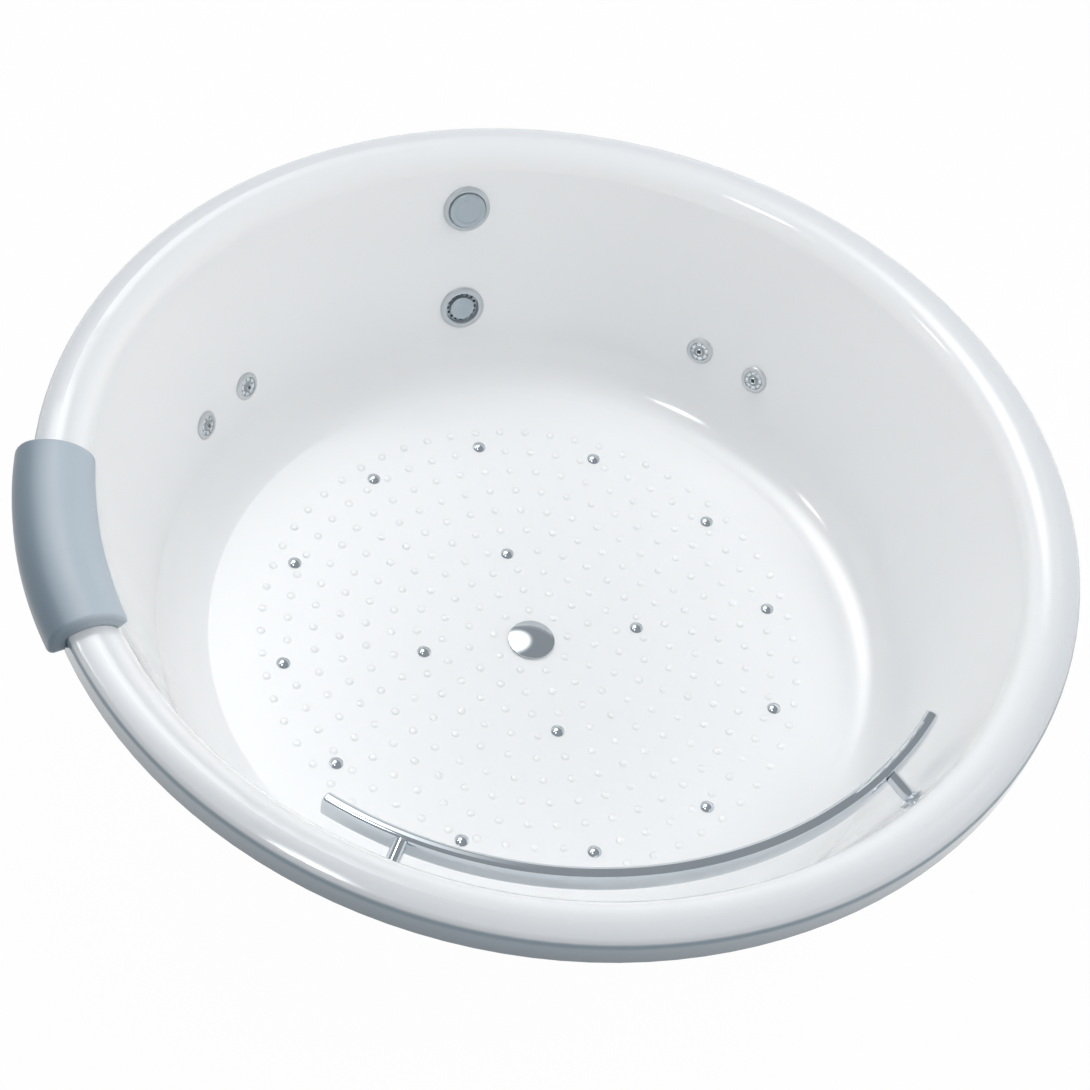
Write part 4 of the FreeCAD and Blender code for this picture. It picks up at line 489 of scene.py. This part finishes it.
def on_rim(run):
    """Radius, height and outward direction at a distance along the rim from the pad's inner edge."""
    for number, length in enumerate(stretches):
        if run <= length or number == len(stretches) - 1:
            break
        run -= length
    if number == 0:
        turn = math.pi / 2 + HEADREST_WRAP - run / ROLL_RADIUS
        centre, radius = (CREST_RADIUS, CREST_HEIGHT - ROLL_RADIUS), ROLL_RADIUS
    elif number == 1:
        turn = math.pi / 2 - run / TOP_RADIUS
        centre, radius = (CREST_RADIUS, CREST_HEIGHT - TOP_RADIUS), TOP_RADIUS
    elif number == 2:
        turn = top_turn - run / CORNER_RADIUS
        centre, radius = (RIM_RADIUS - CORNER_RADIUS, corner_height), CORNER_RADIUS
    else:
        return RIM_RADIUS, corner_height - run, 1.0, 0.0
    out, up = math.cos(turn), math.sin(turn)
    return centre[0] + radius * out, centre[1] + radius * up, out, up


print("the pad covers", round(sum(stretches) * 1000), "mm of the rim's outline")

# %% Headrest
PAD_MIDDLE = math.radians(182.6)
PAD_ANGLE = math.radians(25.2)
PAD_THICKNESS = 0.0185
PAD_SWELL = 0.42
PAD_GAP = 0.0006
PAD_EDGE = 0.0065
PAD_DRAW = 0.10
PAD_ROUND_CORNER = 0.014


def headrest():
    """A flat slab one unit wide and long, rounded, crowned and wrapped over the rim."""
    length = PAD_ANGLE * RIM_RADIUS
    width = sum(stretches)
    build = bmesh.new()
    bmesh.ops.create_cube(build, size=1, matrix=Matrix.Diagonal((length, width, PAD_THICKNESS, 1)))
    upright = [edge for edge in build.edges
               if abs(edge.verts[0].co.z - edge.verts[1].co.z) > PAD_THICKNESS / 2]
    soften(build, upright, PAD_ROUND_CORNER, 6)
    top = [edge for edge in build.edges if min(vertex.co.z for vertex in edge.verts) > PAD_THICKNESS * 0.49]
    rim = [edge for edge in top if any(abs(face.normal.z) < 0.5 for face in edge.link_faces)]
    soften(build, rim, PAD_EDGE, 6)
    under = [edge for edge in build.edges
             if max(vertex.co.z for vertex in edge.verts) < -PAD_THICKNESS * 0.49]
    rim = [edge for edge in under if any(abs(face.normal.z) < 0.5 for face in edge.link_faces)]
    soften(build, rim, PAD_EDGE * 0.35, 3)
    for axis, size, count in ((0, length, 90), (1, width, 44)):
        for number in range(1, count):
            point = [0, 0, 0]
            point[axis] = size * (number / count - 0.5)
            normal = [0, 0, 0]
            normal[axis] = 1
            bmesh.ops.bisect_plane(build, geom=build.verts[:] + build.edges[:] + build.faces[:],
                                   plane_co=point, plane_no=normal, dist=1e-6)
    for vertex in build.verts:
        along, across, up = vertex.co
        share_along, share_across = 2 * along / length, 2 * across / width
        crown = 1 + PAD_SWELL * (share_across + 1) / 2 - PAD_DRAW * (share_along ** 2 + share_across ** 4)
        radius, height, out, rise = on_rim(min(max(across + width / 2, 0), width))
        depth = PAD_GAP + (up / PAD_THICKNESS + 0.5) * PAD_THICKNESS * crown
        turn = PAD_MIDDLE + along / RIM_RADIUS
        radius += out * depth
        vertex.co = (radius * math.cos(turn), radius * math.sin(turn), height + rise * depth)
    return build


# %% Its skin
# Painted shade: the skin is painted darker from the crest out over the outer flank.
FLANK_FROM = CREST_RADIUS - 0.02
FLANK_TO = RIM_RADIUS + 0.03
FLANK_PAINTED_SHADE = (0.13, 0.19, 0.245)


def skinned_foam():
    finish = Finish("skinned_foam", Coat_Weight=0.3, Coat_Roughness=0.3)
    grain = finish.cells(1500, feature="DISTANCE_TO_EDGE")
    fine = finish.noise(2600, detail=2)
    cloud = finish.noise(11, detail=4)
    skin = finish.mix(cloud, (0.46, 0.53, 0.59), (0.42, 0.49, 0.55))
    # Painted shade: darker towards the outer flank.
    flank = finish.away_from((0, 0, 0), (0, 0, 1)).between(FLANK_FROM, FLANK_TO)
    finish.drive(Base_Color=finish.mix(flank, skin, FLANK_PAINTED_SHADE),
                 Roughness=0.36 + 0.1 * cloud, Normal=finish.bump(grain + 0.4 * fine, 0.18, 0.0003))
    return finish.material


headrest_skin = piece("headrest_skin", headrest(), skinned_foam(), "headrest_pad", 60)
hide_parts("headrest_pad")

# %% [markdown]
# ## Dots underfoot
#
# The floor is moulded with rings of low round dots.  One dot is a flattened ball, half sunk in the floor,
# and the same few faces are stamped along every ring, square to the dished floor, leaving out those that
# would meet a jet cap or the drain.

# %% Anti-slip dots
DISH = 0.015
AIR_RING = 0.39499
AIR_INNER = 0.174
AIR_PAIR = 28.66
DISH_RADIUS = (AIR_RING ** 2 + DISH ** 2) / (2 * DISH)
DOT_RADIUS = 0.0068
DOT_HEIGHT = 0.0023
DOT_RINGS = 10
DOT_FIRST = 0.060
DOT_STEP = 0.0405
DOT_PITCH = 0.043
DOT_CLEAR = 0.021


def on_floor(radius, azimuth):
    """A place on the dished floor and the direction square to it."""
    angle = math.radians(azimuth)
    drop = math.sqrt(DISH_RADIUS ** 2 - radius ** 2)
    place = Vector((radius * math.cos(angle), radius * math.sin(angle),
                    GROUND_TO_FLOOR - DISH + DISH_RADIUS - drop))
    middle = Vector((0, 0, GROUND_TO_FLOOR - DISH + DISH_RADIUS))
    return place, (middle - place).normalized()


air_spots = [on_floor(AIR_INNER, quarter)[0] for quarter in (0, 90, 180, 270)]
for quarter in (0, 90, 180, 270):
    air_spots += [on_floor(AIR_RING, quarter + side * AIR_PAIR)[0] for side in (-1, 0, 1)]
dots = bmesh.new()
stamped = 0
for ring in range(DOT_RINGS):
    radius = DOT_FIRST + DOT_STEP * ring
    count = round(2 * math.pi * radius / DOT_PITCH)
    for number in range(count):
        place, up = on_floor(radius, 360 * (number + 0.5 * (ring % 2)) / count)
        if min((place - spot).length for spot in air_spots) < DOT_CLEAR:
            continue
        flat = Matrix.Diagonal((1, 1, DOT_HEIGHT / DOT_RADIUS, 1))
        bmesh.ops.create_uvsphere(dots, u_segments=12, v_segments=6, radius=DOT_RADIUS,
                                  matrix=stand(place, up) @ flat)
        stamped += 1
print(stamped, "dots in", DOT_RINGS, "rings")
piece("anti_slip_dots", dots, ACRYLIC, "tub", 60)

# %% [markdown]
# ## Grips and eyes on the water jets
#
# A hand turns each jet's ring and tips its ball.  Eight ribs round the ring and a rolled collar round the
# eye give the fingers a hold, and they catch the light as the small marks seen on every jet.

# %% Jet grips and collars
JET_RING_FRONT = 0.0035
JET_RING_MIDDLE = 0.0127
JET_RIBS = 8
JET_RIB = (0.0045, 0.0018, 0.0016, 1)
JET_BALL_DEPTH = 0.0065
JET_BALL_RADIUS = 0.0135
JET_COLLAR_RADIUS = 0.0046
JET_COLLAR_ROUND = 0.0011
collar_height = math.sqrt(JET_BALL_RADIUS ** 2 - JET_COLLAR_RADIUS ** 2) - JET_BALL_DEPTH
for number, (centre, axis) in enumerate(jet_lines, start=1):
    seat = stand(centre, axis)
    ribs = bmesh.new()
    for rib in range(JET_RIBS):
        turn = Matrix.Rotation(2 * math.pi * rib / JET_RIBS, 4, "Z")
        spot = Matrix.Translation((JET_RING_MIDDLE, 0, JET_RING_FRONT + 0.0002))
        made = bmesh.ops.create_cube(ribs, size=1, matrix=seat @ turn @ spot @ Matrix.Diagonal(JET_RIB))
        soften(ribs, edges_of(made), 0.0004)
    piece("jet_grip_%d" % number, ribs, JET_GREY, "jet_ring_%d" % number)
    collar = bmesh.new()
    made = bmesh.ops.create_circle(collar, segments=10, radius=JET_COLLAR_ROUND)
    bmesh.ops.rotate(collar, verts=made["verts"], matrix=Matrix.Rotation(math.pi / 2, 3, "X"))
    bmesh.ops.translate(collar, verts=made["verts"], vec=(JET_COLLAR_RADIUS, 0, collar_height))
    bmesh.ops.spin(collar, geom=collar.edges[:], cent=(0, 0, 0), axis=(0, 0, 1), angle=2 * math.pi, steps=28,
                   use_merge=True)
    collar.transform(seat)
    piece("jet_collar_%d" % number, collar, CHROME, "jet_nozzle_%d" % number)

# %% [markdown]
# ## Clamps, bolts, screws and welds
#
# Under the rim the pipes are held by worm-drive clamps, the pump's halves and the trays by bolts, the
# box's lid by slotted screws, and the frame by welds.  Each is a helper that adds one of its kind to a
# bmesh, so that a whole family becomes one piece.

# %% Fasteners
def bolt(build, place, axis, size):
    """A washer under a hexagonal head."""
    seat = stand(place, axis)
    made = bmesh.ops.create_cone(build, cap_ends=True, segments=20, radius1=size * 1.3, radius2=size * 1.3,
                                 depth=size * 0.2, matrix=seat @ Matrix.Translation((0, 0, size * 0.1)))
    soften(build, [edge for edge in edges_of(made) if edge.calc_face_angle() > 1], size * 0.05)
    made = bmesh.ops.create_cone(build, cap_ends=True, segments=6, radius1=size, radius2=size,
                                 depth=size * 0.7, matrix=seat @ Matrix.Translation((0, 0, size * 0.55)))
    soften(build, edges_of(made), size * 0.08)


def screw(build, place, axis, size):
    """A low round head with a slot across it."""
    seat = stand(place, axis)
    depth = size * 0.5
    made = bmesh.ops.create_cone(build, cap_ends=True, segments=24, radius1=size, radius2=size * 0.92,
                                 depth=depth, matrix=Matrix.Translation((0, 0, depth / 2)))
    head = made["verts"]
    for side in (-1, 1):
        faces = {face for vertex in head for face in vertex.link_faces}
        edges = {edge for vertex in head for edge in vertex.link_edges}
        cut = bmesh.ops.bisect_plane(build, geom=[*head, *edges, *faces], plane_co=(side * size * 0.14, 0, 0),
                                     plane_no=(1, 0, 0), dist=1e-7)
        head = list(set(head) | {item for item in cut["geom_cut"] if isinstance(item, bmesh.types.BMVert)})
    slot = [face for face in {face for vertex in head for face in vertex.link_faces}
            if face.normal.z > 0.9 and abs(face.calc_center_median().x) < size * 0.1]
    raised = bmesh.ops.extrude_face_region(build, geom=slot)
    sunk = [item for item in raised["geom"] if isinstance(item, bmesh.types.BMVert)]
    bmesh.ops.delete(build, geom=slot, context="FACES")
    bmesh.ops.translate(build, verts=sunk, vec=(0, 0, -depth * 0.45))
    bmesh.ops.transform(build, verts=list(set(head) | set(sunk)), matrix=seat)


def clamp(build, place, axis, radius, turn=0.0):
    """A worm-drive band with its screw housing."""
    seat = stand(place, axis) @ Matrix.Rotation(turn, 4, "Z")
    band = bmesh.ops.create_cone(build, cap_ends=False, segments=40, radius1=radius + 0.0003,
                                 radius2=radius + 0.0003, depth=0.009, matrix=seat)
    wall = list({face for vertex in band["verts"] for face in vertex.link_faces})
    bmesh.ops.recalc_face_normals(build, faces=wall)
    bmesh.ops.solidify(build, geom=wall, thickness=-0.0009)
    housing = seat @ Matrix.Translation((radius + 0.0045, 0, 0))
    made = bmesh.ops.create_cube(build, size=1, matrix=housing @ Matrix.Diagonal((0.0075, 0.012, 0.0095, 1)))
    soften(build, edges_of(made), 0.0012)
    drive = housing @ Matrix.Rotation(math.pi / 2, 4, "X") @ Matrix.Translation((0.0005, 0, 0.0085))
    made = bmesh.ops.create_cone(build, cap_ends=True, segments=6, radius1=0.0036, radius2=0.0036,
                                 depth=0.006, matrix=drive)
    soften(build, edges_of(made), 0.0004)


def weld(build, start, end, size=0.0026):
    """A row of overlapping flattened drops."""
    start, end = Vector(start), Vector(end)
    count = max(2, round((end - start).length / (size * 1.1)))
    for number in range(count + 1):
        drop = Matrix.Translation(start.lerp(end, number / count)) @ Matrix.Diagonal((1, 1, 0.75, 1))
        bmesh.ops.create_icosphere(build, subdivisions=1, radius=size * random.uniform(0.9, 1.1), matrix=drop)


random.seed(7)

# %% [markdown]
# Where each fastener sits follows from the pipes and plates that it holds, read from the frame's boxes.

# %% Clamps on the pipes
PIPE_RADIUS = 0.016
SUCTION_RADIUS = 0.020
JET_FEED_RADIUS = 0.009
JET_STUB_BACK = 0.062
JET_STUB_DOWN = 0.036
CLAMP_CLEAR = 0.008
VOLUTE_LENGTH = 0.020
MANIFOLD_RADIUS = 0.0125
pump_line = joint_line("pump_spin")
volute_low, volute_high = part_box("pump_volute")
overflow_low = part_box("overflow_pipe")[0]
clamps = bmesh.new()
pump_axis_height = pump_line[0].z
pump_row = pump_line[0].y
clamp(clamps, (volute_low.x + CLAMP_CLEAR, pump_row, pump_axis_height), (1, 0, 0), SUCTION_RADIUS, 0.6)
clamp(clamps, (volute_low.x - CLAMP_CLEAR, pump_row, pump_axis_height), (1, 0, 0), SUCTION_RADIUS, 2.2)
inlet_way = Vector((math.cos(math.radians(96)), math.sin(math.radians(96)), 0))
inlet_height = overflow_low.z + PIPE_RADIUS
inlet_spot = inlet_way * (overflow_low.y + CLAMP_CLEAR) + Vector((0, 0, inlet_height))
clamp(clamps, inlet_spot, inlet_way, PIPE_RADIUS, 1.2)
for centre, axis in jet_lines:
    up = (Vector((0, 0, 1)) - axis * axis.z).normalized()
    stub = centre - axis * JET_STUB_BACK - up * JET_STUB_DOWN
    clamp(clamps, stub, up, JET_FEED_RADIUS, 2.5)
riser = Vector(((volute_low.x + VOLUTE_LENGTH + volute_high.x) / 2, pump_row, volute_high.z + CLAMP_CLEAR))
clamp(clamps, riser, (0, 0, 1), MANIFOLD_RADIUS, 3.6)
duct_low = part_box("blower_housing")[1].z
duct_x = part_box("air_duct")[0].x + PIPE_RADIUS
blower_line = joint_line("blower_spin")
duct_way = Vector((blower_line[0].x, blower_line[0].y, 0)).normalized()
duct_foot = duct_way * (duct_x / duct_way.x) + Vector((0, 0, duct_low + CLAMP_CLEAR))
clamp(clamps, duct_foot, (0, 0, 1), PIPE_RADIUS, 1.0)
piece("pipe_clamps", clamps, ZINC, "tub")

# %% Bolts and screws
VOLUTE_BOLT_CIRCLE = 0.047
TRAY_BOLT = 0.0055
TRAY_BOLT_SIDE = 0.020
TRAY_BOLT_IN = 0.012
TRAY_SHEET = 0.003
LID_SCREW_IN = 0.009
LID_SCREW = 0.0042
VOLUTE_BOLT = 0.0045
bolts = bmesh.new()
volute_face = volute_low.x + VOLUTE_LENGTH
for number in range(6):
    turn = 2 * math.pi * (number + 0.5) / 6
    spot = Vector((volute_face, pump_row + VOLUTE_BOLT_CIRCLE * math.cos(turn),
                   pump_axis_height + VOLUTE_BOLT_CIRCLE * math.sin(turn)))
    bolt(bolts, spot, (-1, 0, 0), VOLUTE_BOLT)
for name in ("pump_tray", "blower_tray"):
    tray_low, tray_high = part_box(name)
    rail = nodes["side_rail_right" if name == "pump_tray" else "side_rail_left"]
    rail_middle = sum(corner[0] for corner in rail.bound_box) / 8
    for side in (-1, 1):
        spot = Vector((rail_middle + side * TRAY_BOLT_SIDE, tray_low.y + TRAY_BOLT_IN,
                       tray_high.z - TRAY_SHEET))
        bolt(bolts, spot, (0, 0, -1), TRAY_BOLT)
piece("machine_bolts", bolts, ZINC, "tub")

lid_low, lid_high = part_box("control_box_lid")
screws = bmesh.new()
for across in (lid_low.y + LID_SCREW_IN, lid_high.y - LID_SCREW_IN):
    for up in (lid_low.z + LID_SCREW_IN, lid_high.z - LID_SCREW_IN):
        screw(screws, (lid_high.x, across, up), (1, 0, 0), LID_SCREW)
piece("lid_screws", screws, ZINC, "tub")

# %% Welds on the frame
welds = bmesh.new()
for name in ("cross_rail_front", "cross_rail_rear"):
    rail_low, rail_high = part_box(name)
    for side in ("left", "right"):
        post_low, post_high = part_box("side_rail_" + side)
        for edge in (rail_low.y, rail_high.y):
            weld(welds, (post_low.x + 0.002, edge, rail_low.z), (post_high.x - 0.002, edge, rail_low.z))
piece("frame_welds", welds, ZINC, "tub", 80)

# %% [markdown]
# ## Clips for the cords
#
# The two cords and the drain's cable are held along their way, so that nothing can rub.  A clip is a
# bevelled foot on what carries it, with a loop round the cord.

# %% Cord clips
CORD_RADIUS = 0.0038
CABLE_RADIUS = 0.0035
INNER_CORD_X = 0.273
OUTER_CORD_X = 0.300
CORD_HEIGHT = 0.082
CABLE_X = -0.10116
CABLE_HEIGHT = 0.085
CLIP_WALL = 0.0016
clips = bmesh.new()


def clip(build, loop_place, foot_place, axis, radius):
    """A loop round a cord, with an arm to what carries it."""
    loop_place, foot_place = Vector(loop_place), Vector(foot_place)
    band = bmesh.ops.create_cone(build, cap_ends=False, segments=24, radius1=radius + 0.0002,
                                 radius2=radius + 0.0002, depth=0.008, matrix=stand(loop_place, axis))
    wall = list({face for vertex in band["verts"] for face in vertex.link_faces})
    bmesh.ops.recalc_face_normals(build, faces=wall)
    bmesh.ops.solidify(build, geom=wall, thickness=-0.0014)
    reach = (foot_place - loop_place).normalized()
    start = loop_place + reach * (radius + 0.0012)
    length = (foot_place - start).length
    arm = stand(start.lerp(foot_place, 0.5), reach)
    made = bmesh.ops.create_cube(build, size=1, matrix=arm @ Matrix.Diagonal((0.007, 0.007, length, 1)))
    soften(build, edges_of(made), 0.0008)
    made = bmesh.ops.create_cube(build, size=1, matrix=stand(foot_place - reach * 0.001, reach)
                                 @ Matrix.Diagonal((0.016, 0.012, 0.002, 1)))
    soften(build, edges_of(made), 0.0006)


rail_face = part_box("side_rail_right")[1].x
board_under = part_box("base_board")[0].z
inner_side = INNER_CORD_X + CORD_RADIUS + CLIP_WALL
for row in (0.14, 0.24, 0.34):
    clip(clips, (INNER_CORD_X, row, CORD_HEIGHT), (rail_face, row, CORD_HEIGHT), (0, 1, 0), CORD_RADIUS)
    clip(clips, (OUTER_CORD_X, row, CORD_HEIGHT), (inner_side, row, CORD_HEIGHT), (0, 1, 0), CORD_RADIUS)
for row in (0.16, 0.28):
    clip(clips, (CABLE_X, row, CABLE_HEIGHT), (CABLE_X, row, board_under), (0, 1, 0), CABLE_RADIUS)
piece("cord_clips", clips, HOUSING_BLACK, "tub")

# %% [markdown]
# ## Soft studio light
#
# The bath stands on a white ground in a studio whose ceiling is dark but for a few soft boxes.  A glossy
# bath needs both: the pale surroundings fill its inside evenly, the dark ceiling gives the chrome its dark
# bands, and each soft box draws a short bright streak where a curve of the shell turns to face it.  Each
# box fades towards its edges, and two of the boxes only fill shadows, so mirrors leave those out.

# %% World, floor and lamps
BACKDROP = (1.0, 1.0, 1.0)
CEILING = (0.33, 0.35, 0.37)
SHADED = 0.72
GLOW = 0.98
LAMP_TARGET = (0, 0, 0.3)
LAMP_PEAK = 4.0
LAMPS = (
    ("softbox_above", (-0.5, 2.0, 3.3), 3.3, 43, True),
    ("softbox_front", (0.8, -1.3, 3.2), 1.80, 20, False),
    ("softbox_right", (1.9, 0.3, 3.0), 0.90, 22, False),
    ("softbox_left", (-0.9, -0.3, 2.9), 0.60, 5.0, True),
    ("softbox_back", (-1.5, 0.8, 2.3), 0.50, 2.0, True),
)


def seen_by(tree, otherwise, seen):
    """One value for rays from the camera, a mirror or glass, and another for the rays that only light."""
    ray = tree.nodes.new("ShaderNodeLightPath")
    shares = [ray.outputs[name] for name in ("Is Camera Ray", "Is Glossy Ray", "Is Transmission Ray")]
    total = shares[0]
    for share in shares[1:]:
        larger = tree.nodes.new("ShaderNodeMath")
        larger.operation = "MAXIMUM"
        tree.links.new(total, larger.inputs[0])
        tree.links.new(share, larger.inputs[1])
        total = larger.outputs[0]
    value = tree.nodes.new("ShaderNodeMapRange")
    value.inputs["To Min"].default_value = otherwise
    value.inputs["To Max"].default_value = seen
    tree.links.new(total, value.inputs["Value"])
    return value.outputs[0]


def studio_world():
    """White at the horizon, where the backdrop is, and dark overhead."""
    world = bpy.data.worlds.new("studio")
    world.use_nodes = True
    tree = world.node_tree
    sky = tree.nodes.new("ShaderNodeValToRGB")
    backdrop, ceiling = sky.color_ramp.elements
    backdrop.position, backdrop.color = 0.62, (*BACKDROP, 1)
    ceiling.position, ceiling.color = 0.80, (*CEILING, 1)
    way = tree.nodes.new("ShaderNodeTexCoord")
    parts = tree.nodes.new("ShaderNodeSeparateXYZ")
    scale = tree.nodes.new("ShaderNodeMapRange")
    scale.inputs["From Min"].default_value = -1
    tree.links.new(way.outputs["Generated"], parts.inputs[0])
    tree.links.new(parts.outputs["Z"], scale.inputs["Value"])
    tree.links.new(scale.outputs[0], sky.inputs["Fac"])
    tree.links.new(sky.outputs["Color"], tree.nodes["Background"].inputs["Color"])
    tree.links.new(seen_by(tree, SHADED, 1.0), tree.nodes["Background"].inputs["Strength"])
    bpy.context.scene.world = world


def studio_floor():
    mesh = bpy.data.meshes.new("studio_floor")
    build = bmesh.new()
    bmesh.ops.create_grid(build, x_segments=1, y_segments=1, size=14)
    build.to_mesh(mesh)
    build.free()
    floor = bpy.data.objects.new("studio_floor", mesh)
    finish = Finish("studio_floor", Roughness=0.9, Base_Color=(0.8, 0.8, 0.8, 1), Specular_IOR_Level=0.0)
    glow = finish.node("ShaderNodeEmission", {}, {"Color": (1, 1, 1, 1), "Strength": 1.0})
    lit = finish.tree.nodes.new("ShaderNodeMixShader")
    finish.tree.links.new(seen_by(finish.tree, 0.0, GLOW), lit.inputs["Fac"])
    finish.feed(lit.inputs[1], Wire(finish, finish.shader.outputs[0]))
    finish.feed(lit.inputs[2], glow)
    finish.tree.links.new(lit.outputs[0], finish.tree.nodes["Material Output"].inputs["Surface"])
    mesh.materials.append(finish.material)
    bpy.context.scene.collection.objects.link(floor)


def lamp(name, place, size, power, mirrored):
    """A soft box that is brightest in its middle and fades to its edges."""
    data = bpy.data.lights.new(name, "AREA")
    data.size = size
    data.energy = power
    data.use_nodes = True
    tree = data.node_tree
    across = tree.nodes.new("ShaderNodeNewGeometry")
    out = tree.nodes.new("ShaderNodeVectorMath")
    out.operation = "DISTANCE"
    out.inputs[1].default_value = (0.5, 0.5, 0)
    fade = tree.nodes.new("ShaderNodeMapRange")
    fade.interpolation_type = "SMOOTHSTEP"
    for socket, value in (("From Min", 0.5), ("From Max", 0.0), ("To Max", LAMP_PEAK)):
        fade.inputs[socket].default_value = value
    tree.links.new(across.outputs["Parametric"], out.inputs[0])
    tree.links.new(out.outputs["Value"], fade.inputs["Value"])
    tree.links.new(fade.outputs[0], tree.nodes["Emission"].inputs["Strength"])
    light = bpy.data.objects.new(name, data)
    light.location = place
    light.visible_glossy = mirrored
    light.rotation_euler = (Vector(LAMP_TARGET) - Vector(place)).to_track_quat("-Z", "Y").to_euler()
    bpy.context.scene.collection.objects.link(light)


studio_world()
studio_floor()
for settings in LAMPS:
    lamp(*settings)
